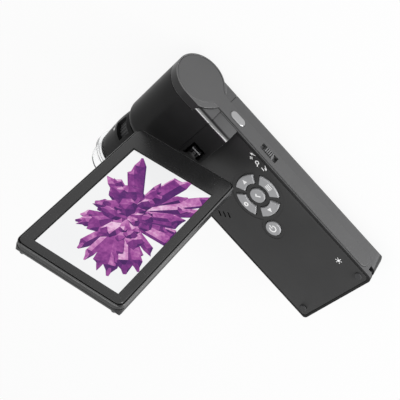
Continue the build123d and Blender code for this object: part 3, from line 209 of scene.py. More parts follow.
class Wire:
    """An output socket. Arithmetic on wires and numbers adds Math nodes."""

    def __init__(self, graph, socket):
        self.graph, self.socket = graph, socket

    def math(self, operation, first, second):
        return self.graph.node(
            "ShaderNodeMath", {"operation": operation}, {0: first, 1: second}
        )

    def __add__(self, other):
        return self.math("ADD", self, other)

    __radd__ = __add__

    def __sub__(self, other):
        return self.math("SUBTRACT", self, other)

    def __rsub__(self, other):
        return self.math("SUBTRACT", other, self)

    def __mul__(self, other):
        return self.math("MULTIPLY", self, other)

    __rmul__ = __mul__

    def __gt__(self, other):
        return self.math("GREATER_THAN", self, other)

    def clamped(self):
        return self.graph.node(
            "ShaderNodeMath", {"operation": "ADD", "use_clamp": True}, {0: self, 1: 0.0}
        )


class Graph:
    """The nodes of a new material, or of a world."""

    def __init__(self, name, kind="materials"):
        self.owner = getattr(bpy.data, kind).new(name)
        self.owner.use_nodes = True
        self.nodes = self.owner.node_tree.nodes
        self.links = self.owner.node_tree.links
        self.nodes.clear()

    def node(self, kind, settings=None, sockets=None, out=0):
        """Adds a node: its settings first, then values or links of its sockets."""
        made = self.nodes.new(kind)
        for key, value in (settings or {}).items():
            if key == "stops":
                self.stops(made.color_ramp, value)
            else:
                setattr(made, key, value)
        for key, value in (sockets or {}).items():
            if isinstance(value, Wire):
                self.links.new(value.socket, made.inputs[key])
            else:
                made.inputs[key].default_value = value
        return Wire(self, made.outputs[out]) if made.outputs else None

    @staticmethod
    def stops(ramp, stops):
        while len(ramp.elements) < len(stops):
            ramp.elements.new(1.0)
        for element, (place, colour) in zip(ramp.elements, stops):
            element.position = place
            element.color = (*colour, 1.0)

    def place(self):
        """The point's place on the microscope."""
        return self.node("ShaderNodeTexCoord", out="Object")

    def noise(self, size, detail=2.0):
        """Noise whose patches are size millimetres across."""
        values = {"Vector": self.place(), "Scale": 1 / (size * MM), "Detail": detail}
        return self.node("ShaderNodeTexNoise", {}, values, out="Fac")

    def blend(self, factor, first, second):
        """Mixes two colours."""
        return self.node(
            "ShaderNodeMix",
            {"data_type": "RGBA"},
            {0: factor, 6: rgba(first), 7: rgba(second)},
            out=2,
        )

    def rounded(self, radius):
        """Normal that rounds the sharp edges over, and how near the edge is."""
        soft = self.node("ShaderNodeBevel", {"samples": 6}, {"Radius": radius * MM})
        flat = self.node("ShaderNodeNewGeometry", out="Normal")
        same = self.node(
            "ShaderNodeVectorMath", {"operation": "DOT_PRODUCT"}, {0: soft, 1: flat}, out="Value"
        )
        return soft, (1.0 - same).clamped()

    def bump(self, height, strength, depth, **sockets):
        """Normal of a relief that is depth millimetres high."""
        values = {"Height": height, "Strength": strength, "Distance": depth * MM}
        return self.node("ShaderNodeBump", {}, {**values, **sockets})

    def shown(self):
        """Above 0 for what the camera sees, plainly, mirrored or through something clear."""
        seen, mirrored, through = (
            self.node("ShaderNodeLightPath", out=f"Is {ray} Ray")
            for ray in ("Camera", "Glossy", "Transmission")
        )
        return seen + mirrored + through

    def output(self, shader, kind="Material"):
        """Ends the graph in a shader and gives back the material or world."""
        self.node("ShaderNodeOutput" + kind, {}, {"Surface": shader})
        return self.owner

    def surface(self, **sockets):
        """Principled surface; each socket's name is written with _ for a space."""
        names = {key.replace("_", " "): value for key, value in sockets.items()}
        for key in ("Base Color", "Emission Color"):
            if key in names:
                names[key] = rgba(names[key])
        return self.output(self.node("ShaderNodeBsdfPrincipled", {}, names))


def rgba(colour):
    return colour if isinstance(colour, Wire) or len(colour) == 4 else (*colour, 1.0)


def lighter(colour, amount):
    """A colour moved towards white by a share."""
    return tuple(c + (1 - c) * amount for c in colour)


def times(colour, factor):
    return tuple(c * factor for c in colour)


def moulded(
    name, colour, roughness=0.5, grain=0.16, relief=0.012, edge=0.3, wear_and_highlight=0.05, gloss=0.3, side=None
):
    """Moulded plastic: a fine grain, faint clouding, rounded edges that are rubbed a little and,
    where asked, paler still as a painted highlight.

    Sizes are in millimetres. With side, the casing's near side has that paler colour, painted light
    for the strong light that falls on that side.
    """
    g = Graph(name)
    soft, rim = g.rounded(edge)
    fine = g.noise(grain)
    cloud = g.noise(18.0, 3.0)
    tone = g.blend(cloud, colour, lighter(colour, 0.012))
    coat = {}
    if side:
        flat, fold = near_side(g)
        # The paler near side is painted light: it stands in for the strong light on that side.
        tone = g.blend(flat, tone, side)
        coat = {"Coat_Weight": fold, "Coat_IOR": 2.8, "Coat_Roughness": 0.18}
    # Paler rounded edges: light rubbing, and with a large share a painted highlight.
    tone = g.blend((rim * wear_and_highlight).clamped(), tone, lighter(colour, 0.3))
    return g.surface(
        Base_Color=tone,
        Roughness=roughness + (cloud - 0.5) * 0.12 - rim * 0.15,
        Normal=g.bump(fine, 0.35, relief, Normal=soft),
        Specular_IOR_Level=gloss,
        **coat,
    )


def near_side(g):
    """Masks for the casing's near side, painted a paler grey as painted light, and for the smooth
    fold above it.
    """
    facing = g.node("ShaderNodeTexCoord", out="Normal")
    near = g.node("ShaderNodeSeparateXYZ", {}, {0: g.place()}, out="Y")
    height = g.node("ShaderNodeSeparateXYZ", {}, {0: g.place()}, out="Z")
    turn = g.node("ShaderNodeSeparateXYZ", {}, {0: facing}, out="Y")

    def between(start, end, blend="LINEAR"):
        """From 0 to 1 as the surface turns towards the near side."""
        limits = {"Value": turn, "From Min": start, "From Max": end}
        return g.node("ShaderNodeMapRange", {"interpolation_type": blend}, limits)

    # faces turned to the near side, which take the painted light
    flat = between(0.84, 0.96, "SMOOTHSTEP") * (near > SIDE_FLAT * MM)
    bent = between(0.12, 0.32) * between(0.74, 0.56)
    return flat, bent * (height > FOLD[1] * MM) * (near > FOLD[0] * MM)


def metal(name, colour, roughness=0.3):
    """Turned or pressed metal with fine scratches and dull patches."""
    g = Graph(name)
    soft, rim = g.rounded(0.12)
    fine = g.noise(0.25, 4.0)
    cloud = g.noise(6.0)
    return g.surface(
        Base_Color=g.blend(cloud, colour, times(colour, 0.82)),
        Metallic=1.0,
        Roughness=roughness + (fine - 0.5) * 0.18 + (cloud - 0.5) * 0.1 - rim * 0.1,
        Normal=g.bump(fine, 0.2, 0.01, Normal=soft),
    )


def soft_rubber(name, colour):
    """Dull rubber with a fine, uneven skin."""
    g = Graph(name)
    soft, _ = g.rounded(0.2)
    fine = g.noise(0.3)
    tone = g.blend(fine, colour, lighter(colour, 0.03))
    return g.surface(Base_Color=tone, Roughness=0.75, Normal=g.bump(fine, 0.5, 0.02, Normal=soft))


def board(name):
    """Circuit board: green lacquer over copper tracks, with the glass weave under it."""
    g = Graph(name)
    tracks = g.node(
        "ShaderNodeTexBrick",
        {"offset": 0.35},
        {"Vector": g.place(), "Scale": 60.0, "Mortar Size": 0.03, "Color1": (0, 0, 0, 1),
         "Color2": (0, 0, 0, 1), "Mortar": (1, 1, 1, 1)},
        out="Fac",
    )
    tone = g.blend(tracks, (0.006, 0.06, 0.025), (0.02, 0.13, 0.05))
    tone = g.blend(g.noise(0.5) * 0.25, tone, (0.01, 0.09, 0.03))
    return g.surface(Base_Color=tone, Roughness=0.35, Normal=g.bump(tracks, 0.4, 0.03))


def clear(name, tint, roughness=0.03):
    """Clear plastic or glass."""
    g = Graph(name)
    haze = g.noise(4.0)
    soft, rim = g.rounded(0.15)
    return g.surface(
        Base_Color=g.blend(rim, tint, (1, 1, 1)),
        Roughness=roughness + haze * 0.05,
        Transmission_Weight=1.0,
        IOR=1.45,
        Normal=soft,
    )


def printed(name, colour):
    """Ink, a little thinner in fine specks."""
    g = Graph(name)
    tone = g.blend(g.noise(0.2) * 0.2, colour, times(colour, 0.8))
    return g.surface(Base_Color=tone, Roughness=0.55)


def glowing(name, colour):
    """Display panel whose glow is faintly clouded."""
    g = Graph(name)
    tone = g.blend(g.noise(30.0), colour, times(colour, 0.96))
    return g.surface(
        Base_Color=(0.02, 0.02, 0.02), Roughness=0.12, Emission_Color=tone, Emission_Strength=1.0
    )


def crystal_picture(name):
    """Purple facets of the picture, shaded by each facet's turn and paler to the tips."""
    g = Graph(name)
    shade = g.node("ShaderNodeAttribute", {"attribute_name": "shade"}, out="Fac")
    along_it = g.node("ShaderNodeAttribute", {"attribute_name": "along"}, out="Fac")
    streak = g.noise(1.6, 4.0)
    vein = g.noise(5.0, 3.0)
    level = shade * 1.05 + along_it * -0.14 + (streak - 0.5) * 0.4 + (vein - 0.5) * 0.5 - 0.02
    colour = g.node(
        "ShaderNodeValToRGB",
        {
            "stops": [
                (0.0, (0.05, 0.008, 0.10)),
                (0.3, (0.095, 0.014, 0.145)),
                (0.5, (0.21, 0.032, 0.22)),
                (0.68, (0.35, 0.075, 0.32)),
                (0.84, (0.58, 0.22, 0.49)),
                (1.0, (0.84, 0.55, 0.76)),
            ]
        },
        {0: level.clamped()},
    )
    return g.surface(
        Base_Color=(0.01, 0.01, 0.01), Roughness=0.4, Specular_IOR_Level=0.08,
        Emission_Color=colour, Emission_Strength=1.0,
    )


# ---------------------------------------------------------------- modelling


def deselect():
    for obj in bpy.context.selected_objects:
        obj.select_set(False)


def made(name):
    """Names the object that an operator has just added."""
    obj = bpy.context.object
    obj.name = obj.data.name = name
    return obj


def pick(*objects):
    """Selects these objects alone, the first of them active."""
    deselect()
    for obj in objects:
        obj.select_set(True)
    bpy.context.view_layer.objects.active = objects[0]


def settle(obj):
    """Puts the object's place, turn and size into its mesh."""
    pick(obj)
    bpy.ops.object.transform_apply(location=True, rotation=True, scale=True)
    return obj


def block(name, low, high):
    """A box between two corners, in millimetres."""
    deselect()
    middle = [(a + b) / 2 * MM for a, b in zip(low, high)]
    size = [(b - a) * MM for a, b in zip(low, high)]
    bpy.ops.mesh.primitive_cube_add(size=1, location=middle, scale=size)
    return settle(made(name))


def rod(name, centre, radius, depth, vertices, rotation=(0, 0, 0)):
    """A round bar, in millimetres."""
    deselect()
    bpy.ops.mesh.primitive_cylinder_add(
        vertices=vertices,
        radius=radius * MM,
        depth=depth * MM,
        location=[c * MM for c in centre],
        rotation=rotation,
    )
    return settle(made(name))


class Editing:
    """Edit mode on one object, whose faces and edges are picked in code."""

    def __init__(self, obj):
        self.obj = obj

    def __enter__(self):
        pick(self.obj)
        bpy.ops.object.mode_set(mode="EDIT")
        bpy.ops.mesh.select_all(action="DESELECT")
        return self

    def __exit__(self, *_):
        bpy.ops.object.mode_set(mode="OBJECT")

    def choose(self, kind, test):
        """Selects the faces or edges that pass the test."""
        bpy.ops.mesh.select_mode(type={"faces": "FACE", "edges": "EDGE"}[kind])
        bpy.ops.mesh.select_all(action="DESELECT")
        mesh = bmesh.from_edit_mesh(self.obj.data)
        for item in getattr(mesh, kind):
            if test(item):
                item.select_set(True)
        mesh.select_flush_mode()
        bmesh.update_edit_mesh(self.obj.data)


def centre_of(item):
    """Middle of an edge or face, in millimetres."""
    return sum((v.co for v in item.verts), Vector()) / len(item.verts) / MM


def modify(obj, kind, **settings):
    """Adds a modifier and applies it."""
    pick(obj)
    bpy.ops.object.modifier_add(type=kind)
    modifier = obj.modifiers[-1]
    for key, value in settings.items():
        setattr(modifier, key, value)
    bpy.ops.object.modifier_apply(modifier=modifier.name)
    return obj


def cut(obj, tool, operation="DIFFERENCE"):
    """Takes a tool's shape out of the object, or adds it with UNION."""
    modify(obj, "BOOLEAN", operation=operation, object=tool, solver="EXACT")
    bpy.data.objects.remove(tool)
    return obj


def along(axis):
    """Picks the edges that run along an axis."""

    def test(edge):
        start, end = (vertex.co for vertex in edge.verts)
        return abs((end - start).normalized()[axis]) > 0.999

    return test


def at(axis, value):
    """Picks what lies wholly at one coordinate, in millimetres."""
    return lambda item: all(abs(v.co[axis] / MM - value) < 0.01 for v in item.verts)


def soften(obj, test, radius, segments=4):
    """Rounds the edges that pass the test."""
    with Editing(obj) as edit:
        edit.choose("edges", test)
        bpy.ops.mesh.bevel(offset=radius * MM, segments=segments, affect="EDGES")
    return obj


def smooth(obj):
    pick(obj)
    bpy.ops.object.shade_smooth_by_angle(angle=math.radians(35))
    return obj


def copied(obj):
    """A copy with its own mesh."""
    twin = obj.copy()
    twin.data = obj.data.copy()
    bpy.context.collection.objects.link(twin)
    return twin


def prism(name, points, low, high):
    """An upright block on an outline, in millimetres."""
    obj = flat_shape(name, points, low)
    rise = (0, 0, (high - low) * MM)
    with Editing(obj):
        bpy.ops.mesh.select_all(action="SELECT")
        bpy.ops.mesh.extrude_region_move(TRANSFORM_OT_translate={"value": rise})
        bpy.ops.mesh.select_all(action="SELECT")
        bpy.ops.mesh.normals_make_consistent(inside=False)
    return obj


def second_finish(obj, material, test):
    """Gives the faces that pass the test another material."""
    obj.data.materials.append(material)
    with Editing(obj) as edit:
        edit.choose("faces", test)
        obj.active_material_index = len(obj.data.materials) - 1
        bpy.ops.object.material_slot_assign()


def join(name, pieces):
    """Makes one object of the pieces."""
    pick(*pieces)
    if len(pieces) > 1:
        bpy.ops.object.join()
    return made(name)


def paint(obj, material):
    """Gives a new piece its material."""
    obj.data.materials.clear()
    obj.data.materials.append(material)
    return obj


def stand_on_screen(obj):
    """Turns a piece modelled square to X and Y about the swivel, onto the screen."""
    turn = Matrix.Translation((SWIVEL_X * MM, 0, 0)) @ Matrix.Rotation(SCREEN_TURN, 4, "Z")
    obj.matrix_world = turn @ obj.matrix_world
    return settle(obj)


def finish_nodes(finishes):
    """Gives CAD nodes their finish, from each material's list of nodes."""
    for material, nodes in finishes.items():
        for node in nodes:
            for place in NODES[node].material_slots:
                place.material = material


# ---------------------------------------------------------------- marks


def flat_shape(name, points, z):
    """A flat face through points in millimetres: a circle, its points moved."""
    deselect()
    bpy.ops.mesh.primitive_circle_add(vertices=len(points), radius=MM, fill_type="NGON")
    obj = made(name)
    for vertex, (x, y) in zip(obj.data.vertices, points):
        vertex.co = (x * MM, y * MM, z * MM)
    return obj


def flat_ring(name, x, y, z, inner, outer, vertices):
    """A flat ring: a disc inset, its middle taken out."""
    deselect()
    place = (x * MM, y * MM, z * MM)
    bpy.ops.mesh.primitive_circle_add(
        vertices=vertices, radius=outer * MM, fill_type="NGON", location=place
    )
    obj = settle(made(name))
    with Editing(obj):
        bpy.ops.mesh.select_all(action="SELECT")
        bpy.ops.mesh.inset(thickness=(outer - inner) * MM)
        bpy.ops.mesh.delete(type="FACE")
    return obj


def turned_about(points, angle, x, y):
    """Points turned by an angle in degrees and moved to x, y."""
    c, s = math.cos(math.radians(angle)), math.sin(math.radians(angle))
    return [(x + c * px - s * py, y + s * px + c * py) for px, py in points]


def arc(radius, start, end, steps):
    """Points of an arc about the origin, its angles in degrees."""
    turns = [math.radians(start + (end - start) * i / steps) for i in range(steps + 1)]
    return [(radius * math.cos(t), radius * math.sin(t)) for t in turns]


def stadium(length, width):
    """Outline of a slot with round ends, lying along X."""
    half = (length - width) / 2
    right = [(x + half, y) for x, y in arc(width / 2, -90, 90, 8)]
    return right + [(-x, -y) for x, y in right]


def bar(length, width):
    """Outline of a bar lying along X."""
    x, y = length / 2, width / 2
    return [(-x, -y), (x, -y), (x, y), (-x, y)]


def disc(radius, x, y):
    """Outline of a disc."""
    return turned_about(arc(radius, 0, 355, 71), 0, x, y)


def ring_key(turn, grow):
    """Outline of a key of the ring, grown by some millimetres all round."""
    inner, outer, half = KEY_RING
    half += math.degrees(grow / ((inner + outer) / 2))
    outline = arc(outer + grow, turn - half, turn + half, 20)
    outline += arc(inner - grow, turn + half, turn - half, 12)
    return turned_about(outline, 0, *KEY_CENTRE)


def arrow_head(wide, long):
    """Outline of an arrow's head pointing along Y."""
    return [(-1.1 * wide, -0.9 * long), (1.1 * wide, -0.9 * long), (0.0, long)]


def mark(shapes, name, thickness, material, body):
    """Joins flat shapes into one print and gives it its thickness."""
    obj = join(name, shapes)
    modify(obj, "SOLIDIFY", thickness=thickness, offset=1.0)
    paint(obj, material)
    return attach(obj, body)


# ---------------------------------------------------------------- operators


class MICROSCOPE_OT_casings(bpy.types.Operator):
    """Gives the moulded pieces, keys and metal trim their finish"""

    bl_idname = "microscope.casings"
    bl_label = "Casings and keys"

    def execute(self, context):
        settings = context.scene.microscope_casing
        grain = settings.grain / MM
        black, trim = settings.casing, settings.trim
        # Paler grey for the casing's near side: painted light for the strong light on that side.
        painted_side_light = times(trim, 1.25)
        keys = moulded("key_grey", settings.keys, 0.42, 0.3, 0.006)
        not_keys = ("key_panel", "key_mat")
        finishes = {
            moulded("casing_black", black, 0.36, grain, gloss=0.08, side=painted_side_light): (
                "barrel_housing", "front_shell", "rear_shell", "battery_door"),
            # The ring's edges go far paler than wear: a painted highlight.
            moulded("ring_black", black, 0.33, grain, edge=0.4, wear_and_highlight=2.2, side=painted_side_light): (
                "barrel_end_ring",),
            moulded("trim_grey", trim, 0.5, grain): ("side_plate",),
            moulded("panel_black", black, 0.45, grain * 0.7, edge=0.15): ("key_panel",),
            keys: [n for n in NODES if n.startswith("key_") and n not in not_keys],
            metal("button_silver", (0.44, 0.44, 0.445), 0.42): ("snapshot_button",),
            moulded("slider_grey", (0.13, 0.13, 0.132), 0.5, 0.3, edge=0.15): ("zoom_slider",),
            soft_rubber("pad_rubber", (0.006, 0.006, 0.007)): ("bumper_pads",),
            moulded("cover_black", black, 0.4, grain, gloss=0.2): (
                "lcd_rear_cover", "lcd_bezel"),
            moulded("nose_black", black, 0.36, grain, gloss=0.08): (
                "nose_sleeve", "lens_carriage"),
            soft_rubber("wheel_rubber", (0.012, 0.012, 0.013)): ("focus_wheel",),
            clear("tip_clear", (0.95, 0.955, 0.96)): ("clear_tip",),
        }
        finish_nodes(finishes)
        return {"FINISHED"}


class MICROSCOPE_OT_inside(bpy.types.Operator):
    """Gives the boards, battery, lenses and fasteners their finish"""

    bl_idname = "microscope.inside"
    bl_label = "Inner pieces"

    def execute(self, context):
        finishes = {
            board("board_green"): ("main_board", "lcd_board", "sensor_board", "led_ring"),
            metal("steel", (0.55, 0.55, 0.56), 0.28): (
                "board_screws", "case_screws", "bracket_screws", "lcd_screws", "knuckle_clip",
                "knuckle_screw", "swivel_shaft", "swivel_clip", "lanyard_bar", "dome_switches"),
            metal("steel_blackened", (0.035, 0.035, 0.037), 0.42): (
                "hinge_bracket", "hinge_pin", "hinge_springs", "hinge_knuckle"),
            metal("brass", (0.68, 0.48, 0.18), 0.3): ("battery_contacts",),
            metal("socket_metal", (0.6, 0.6, 0.61), 0.35): ("usb_socket", "card_socket"),
            moulded("switch_black", (0.02, 0.02, 0.02), 0.6): (
                "speaker", "side_switches", "swivel_washer"),
            moulded("battery_wrap", (0.03, 0.04, 0.09), 0.4, 0.5): ("battery",),
            moulded("sensor_black", (0.01, 0.01, 0.012), 0.2): ("image_sensor",),
            soft_rubber("mat_rubber", (0.12, 0.12, 0.12)): ("key_mat",),
            clear("lens_glass", (0.97, 0.98, 1.0), 0.01): ("front_lens", "rear_lens"),
            moulded("diffuser", (0.75, 0.75, 0.75), 0.5): ("lcd_backlight",),
            moulded("led_white", (0.85, 0.83, 0.7), 0.3): ("leds",),
        }
        finish_nodes(finishes)
        return {"FINISHED"}


class MICROSCOPE_OT_bezel(bpy.types.Operator):
    """Builds the screen's bezel: its rim, the groove inside it and the raised face"""

    bl_idname = "microscope.bezel"
    bl_label = "Screen bezel"

    def execute(self, context):
        settings = context.scene.microscope_screen
        step, groove = settings.step / MM, settings.groove / MM
        bezel = self.shape(step, groove, settings.corner / MM, settings.mask / MM)
        grain = context.scene.microscope_casing.grain / MM
        black = context.scene.microscope_casing.casing
        paint(bezel, moulded("bezel_black", black, 0.27, grain, gloss=0.5))
        # A paler grey on the rim: a painted highlight on its rounded edge.
        rim = moulded("rim_grey", lighter(black, 0.06), 0.28, grain, edge=0.1, gloss=0.5)
        # Near black in the groove, on the inner walls and on the glass frame: painted shade.
        painted_shade = moulded("bezel_edge", (0.006, 0.006, 0.006), 0.5, edge=0.1, wear_and_highlight=0.0, gloss=0.16)
        near, inset = 0.01, step - groove

        # faces of the rim, which take the painted highlight
        def on_rim(face):
            return SCREEN_LEDGE - GROOVE_DEPTH < centre_of(face).y < SCREEN_LEDGE + near

        # faces in the groove and on the walls, which take the painted shade
        def in_groove(face):
            x, y, z = centre_of(face)
            upright = SCREEN_FOOT + inset < z < SCREEN_TOP - inset
            inside = upright and abs(x) < SCREEN_HALF - inset + near
            sunk = SCREEN_LEDGE - GROOVE_DEPTH - 0.1 < y < SCREEN_LEDGE - near
            wall = y > SCREEN_LEDGE + near and face.normal.y < 0.45
            return inside and (sunk or wall)

        second_finish(bezel, rim, on_rim)
        second_finish(bezel, painted_shade, in_groove)
        bezel = join("screen_bezel", [bezel, self.glass_mask(painted_shade)])
        smooth(bezel)
        stand_on_screen(bezel)
        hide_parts("lcd_bezel")
        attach(bezel, "screen")
        return {"FINISHED"}

    @staticmethod
    def shape(step, groove, corner, mask):
        """The bezel with its posts, square to the axes."""

        def plate(name, inset, back, front):
            """Rounded plate, a little smaller than the screen all round."""
            half = SCREEN_HALF - inset
            low = (-half, back, SCREEN_FOOT + inset)
            plain = block(name, low, (half, front, SCREEN_TOP - inset))
            return soften(plain, along(1), corner + step - inset, 8)

        past = 5.0      # the tools end in front of the face
        bezel = plate("screen_bezel", 0, SCREEN_SPLIT, SCREEN_LEDGE)
        soften(bezel, at(1, SCREEN_LEDGE), 0.6, 5)
        cut(bezel, plate("groove", step - groove, SCREEN_LEDGE - GROOVE_DEPTH, past))
        raised = plate("raised", step, 0.6, SCREEN_FRONT)
        cut(bezel, soften(raised, at(1, SCREEN_FRONT), 0.5), "UNION")
        left, right, low, high = HOLLOW
        cut(bezel, block("hollow", (left, -1, low), (right, GLASS_FRONT, high)))
        left, right, low, high = VIEW
        # wider on the left, which bares a strip of painted shade on the glass
        cut(bezel, block("opening", (left - mask, 1, low), (right, past, high)))
        upright = (math.pi / 2, 0, 0)
        for u, z in SCREEN_POSTS:
            cut(bezel, rod("post", (u, 1.35, z), POST_R, 2.3, 24, upright), "UNION")
            cut(bezel, rod("thread", (u, 0.75, z), THREAD_R, 2.1, 24, upright))
        return cut(bezel, rod("shaft", (0, 0, SCREEN_FOOT + 0.5), SHAFT_R, 4, 32))

    @staticmethod
    def glass_mask(material):
        """Thin frame on the glass round the picture, whose near black is painted shade."""
        left, right, low, high = VIEW
        back, front = GLASS_FRONT - 0.05, GLASS_FRONT + 0.05
        mask = block("glass_mask", (left - 1, back, low - 1), (right + 1, front, high + 1))
        cut(mask, block("lit", (left, GLASS_FRONT - 0.4, low), (right, GLASS_FRONT + 0.6, high)))
        return paint(mask, material)


class MICROSCOPE_OT_hinge(bpy.types.Operator):
    """Builds the cover over the screen hinge and the spring clip in its window"""

    bl_idname = "microscope.hinge"
    bl_label = "Hinge cover"

    def execute(self, context):
        (x0, x1), (y0, y1) = HINGE_BLOCK, SIDES
        cover = block("hinge_block", (x0, y0, PANEL_Z), (x1, y1, BLOCK_TOP))
        upper = at(2, BLOCK_TOP)
        soften(cover, lambda e: along(0)(e) and upper(e), 3.0, 10)
        for end in (x0, x1):
            soften(cover, lambda e: at(0, end)(e) and not at(2, PANEL_Z)(e), 0.2, 2)
        ceiling = BLOCK_TOP - BLOCK_WALL
        low = (x0 - 1, y0 + BLOCK_WALL, PANEL_Z - BLOCK_WALL)
        cut(cover, block("room", low, (x1 - BLOCK_WALL / 2, y1 - BLOCK_WALL, ceiling)))
        wide, long = WINDOW
        low = (SWIVEL_X - wide, -long, ceiling - 1)
        cut(cover, block("window", low, (SWIVEL_X + wide, long, BLOCK_TOP + 1)))

        def round_window(edge):
            x, y, _ = centre_of(edge)
            return upper(edge) and abs(x - SWIVEL_X) < wide + 0.15 and abs(y) < long + 0.2

        soften(cover, round_window, 0.25, 2)
        smooth(cover)
        paint(cover, bpy.data.materials["casing_black"])
        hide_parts("hinge_cover")
        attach(cover, "body")
        low, high = ((SWIVEL_X + x, y, z) for x, y, z in CLIP)
        clip = block("spring_clip", low, high)
        soften(clip, along(1), 0.3, 3)
        soften(clip, lambda e: True, 0.08, 2)
        paint(clip, bpy.data.materials["steel"])
        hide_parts("knuckle_clip")
        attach(clip, "hinge")
        return {"FINISHED"}


class MICROSCOPE_OT_panel(bpy.types.Operator):
    """Builds the key panel with a gap round each key, and its printed symbols"""

    bl_idname = "microscope.panel"
    bl_label = "Key panel"

    def execute(self, context):
        gap = context.scene.microscope_casing.gap / MM
        low, high = PANEL_Z - PANEL_THICK, PANEL_Z
        panel = block("key_sheet", (*PANEL[0], low), (*PANEL[1], high))
        soften(panel, lambda e: along(2)(e) and centre_of(e).x > 0, PANEL_CORNER, 8)
        soften(panel, at(2, high), 0.12, 2)
        for centre, radius in DISHES:
            cut(panel, prism("dish", disc(radius, *centre), high - DISH_DEPTH, high + 1))
        holes = [ring_key(turn, gap) for turn in KEY_TURNS]
        for centre in (KEY_CENTRE, POWER_CENTRE):
            holes.append(turned_about(arc(KEY_ROUND + gap, 0, 350, 35), 0, *centre))
        row = [(SLOT_PITCH * i, 0) for i in (-1, 0, 1)]
        for place in turned_about(row, SLOT_ROW, *SPEAKER):
            holes.append(turned_about(stadium(*SLOT_SIZE), SLOT_TURN, *place))
        for hole in holes:
            cut(panel, prism("hole", hole, low - 1, high + 1))
        smooth(panel)
        paint(panel, bpy.data.materials["panel_black"])
        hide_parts("key_panel")
        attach(panel, "body")
        self.symbols(context)
        return {"FINISHED"}

    @staticmethod
    def symbols(context):
        """Zoom marks between two arrows, and a lamp."""
        settings = context.scene.microscope_print
        head = arrow_head(0.68, 0.75)
        tail = [(-0.12, -2.3), (0.12, -2.3), (0.26, -0.6), (-0.26, -0.6)]
        ray = [(x, y + 1.35) for x, y in bar(0.34, 0.7)]
        # each outline with its turn and place
        marks = [
            (head, 116, -18.3, 23.2),
            (tail, 116, -18.3, 23.2),
            (head, -127, -8.0, 23.2),
            (tail, -127, -8.0, 23.2),
            (bar(1.7, 0.5), 0, -16.7, 21.4),            # plus
            (bar(1.7, 0.5), 90, -16.7, 21.4),
            (bar(1.9, 0.48), -8, -9.1, 21.9),           # minus
            (bar(1.3, 0.55), -44, -12.05, 20.95),       # handle of the magnifier
            (disc(0.72, 0, 0), 0, *LAMP_MARK),
        ]
        marks += [(ray, turn, *LAMP_MARK) for turn in range(0, 360, 60)]
        z = PANEL_Z + PRINT_GAP
        shapes = [flat_shape("a", turned_about(*place), z) for place in marks]
        shapes.append(flat_ring("a", -13.2, 22.1, z, 0.62, 1.12, 28))
        ink = printed("symbol_white", settings.ink)
        mark(shapes, "panel_symbols", settings.thickness, ink, "body")


class MICROSCOPE_OT_picture(bpy.types.Operator):
    """Fills the screen with a cluster of crystals on a pale ground"""

    bl_idname = "microscope.picture"
    bl_label = "Screen picture"

    def execute(self, context):
        settings = context.scene.microscope_screen
        finish_nodes({glowing("picture_ground", settings.white): ("lcd_glass",)})
        chance = random.Random(settings.seed)
        crystal = self.crystal()
        count = settings.crystals
        pieces = [self.grown(crystal, chance, i / count) for i in range(count)]
        bpy.data.objects.remove(crystal)
        obj = join("picture_crystals", pieces)
        settle(obj)
        self.shade(obj, chance)
        self.flatten(obj)
        paint(obj, crystal_picture("crystal_purple"))
        stand_on_screen(obj)
        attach(obj, "screen")
        return {"FINISHED"}

    @staticmethod
    def crystal():
        """One six-sided crystal with a slanted end, one millimetre long and wide."""
        obj = rod("crystal", (0, 0, 0.5), 0.5, 1.0, 6)
        aside, up = 0.12 * MM, 0.13 * MM
        with Editing(obj) as edit:
            edit.choose("faces", lambda f: f.normal.z > 0.9)
            bpy.ops.mesh.extrude_region_move(TRANSFORM_OT_translate={"value": (aside, 0, up)})
            bpy.ops.transform.resize(value=(0.42, 0.34, 1))
            bpy.ops.transform.rotate(
                value=0.5, orient_axis="Y", center_override=(aside, 0, MM + up)
            )
        along_it = obj.data.attributes.new("along", "FLOAT", "POINT")
        for i, vertex in enumerate(obj.data.vertices):
            along_it.data[i].value = min(vertex.co.z / MM, 1.0)
        return obj

    @staticmethod
    def grown(crystal, chance, share):
        """A copy of the crystal, set in the cluster; share goes from outer to inner ones."""
        obj = copied(crystal)
        around = GOLDEN_TURN * share * 64 + chance.uniform(-0.3, 0.3)
        lift = math.radians(6 + 74 * share ** 1.3 + chance.uniform(-6, 6))
        width = chance.choice((5.2, 6.6, 8.0, 9.6)) * (1 - 0.15 * share)
        length = chance.uniform(22, 32) * (1 - 0.35 * share)
        if chance.random() < 0.35:
            length *= 0.72
        across, up = math.cos(around), math.sin(around)
        stretch = 1.0 + 0.45 * abs(up)
        direction = Vector((across * math.cos(lift), math.sin(lift), up * math.cos(lift)))
        spread = 1 - 0.85 * share
        x, z = CLUSTER
        foot = Vector((x + across * 2.0 * spread, 0, z + up * 9.0 * spread))
        turn = direction.to_track_quat("Z", "Y").to_matrix().to_4x4()
        spin = Matrix.Rotation(chance.uniform(0, 2 * math.pi), 4, "Z")
        flat = width * chance.uniform(0.7, 1.0)
        size = Matrix.Diagonal((width, flat, length * stretch * 0.72, 1))
        obj.matrix_world = Matrix.Translation(foot * MM) @ turn @ spin @ size
        return obj

    @staticmethod
    def shade(obj, chance):
        """Lights each facet as if the cluster stood out from the screen."""
        light = Vector((-0.62, 0.48, -0.62)).normalized()
        shade = obj.data.attributes.new("shade", "FLOAT", "FACE")
        # the same order in every run, which an extruded mesh's own order of faces is not
        for face in sorted(obj.data.polygons, key=lambda face: sorted(face.vertices)):
            lit = 0.5 + 0.42 * face.normal.dot(light)
            shade.data[face.index].value = lit + chance.uniform(-0.16, 0.16)

    @staticmethod
    def flatten(obj):
        """Lays the cluster on the glass as a low relief, cut off at the picture's edges."""
        left, right, bottom, top = (edge * MM for edge in VIEW)
        back = (GLASS_FRONT - 0.04) * MM
        low = min(v.co.y for v in obj.data.vertices)
        high = max(v.co.y for v in obj.data.vertices)
        for vertex in obj.data.vertices:
            vertex.co.x = min(max(vertex.co.x, left), right)
            vertex.co.y = back + (vertex.co.y - low) / (high - low) * PICTURE_RELIEF * MM
            vertex.co.z = min(max(vertex.co.z, bottom), top)


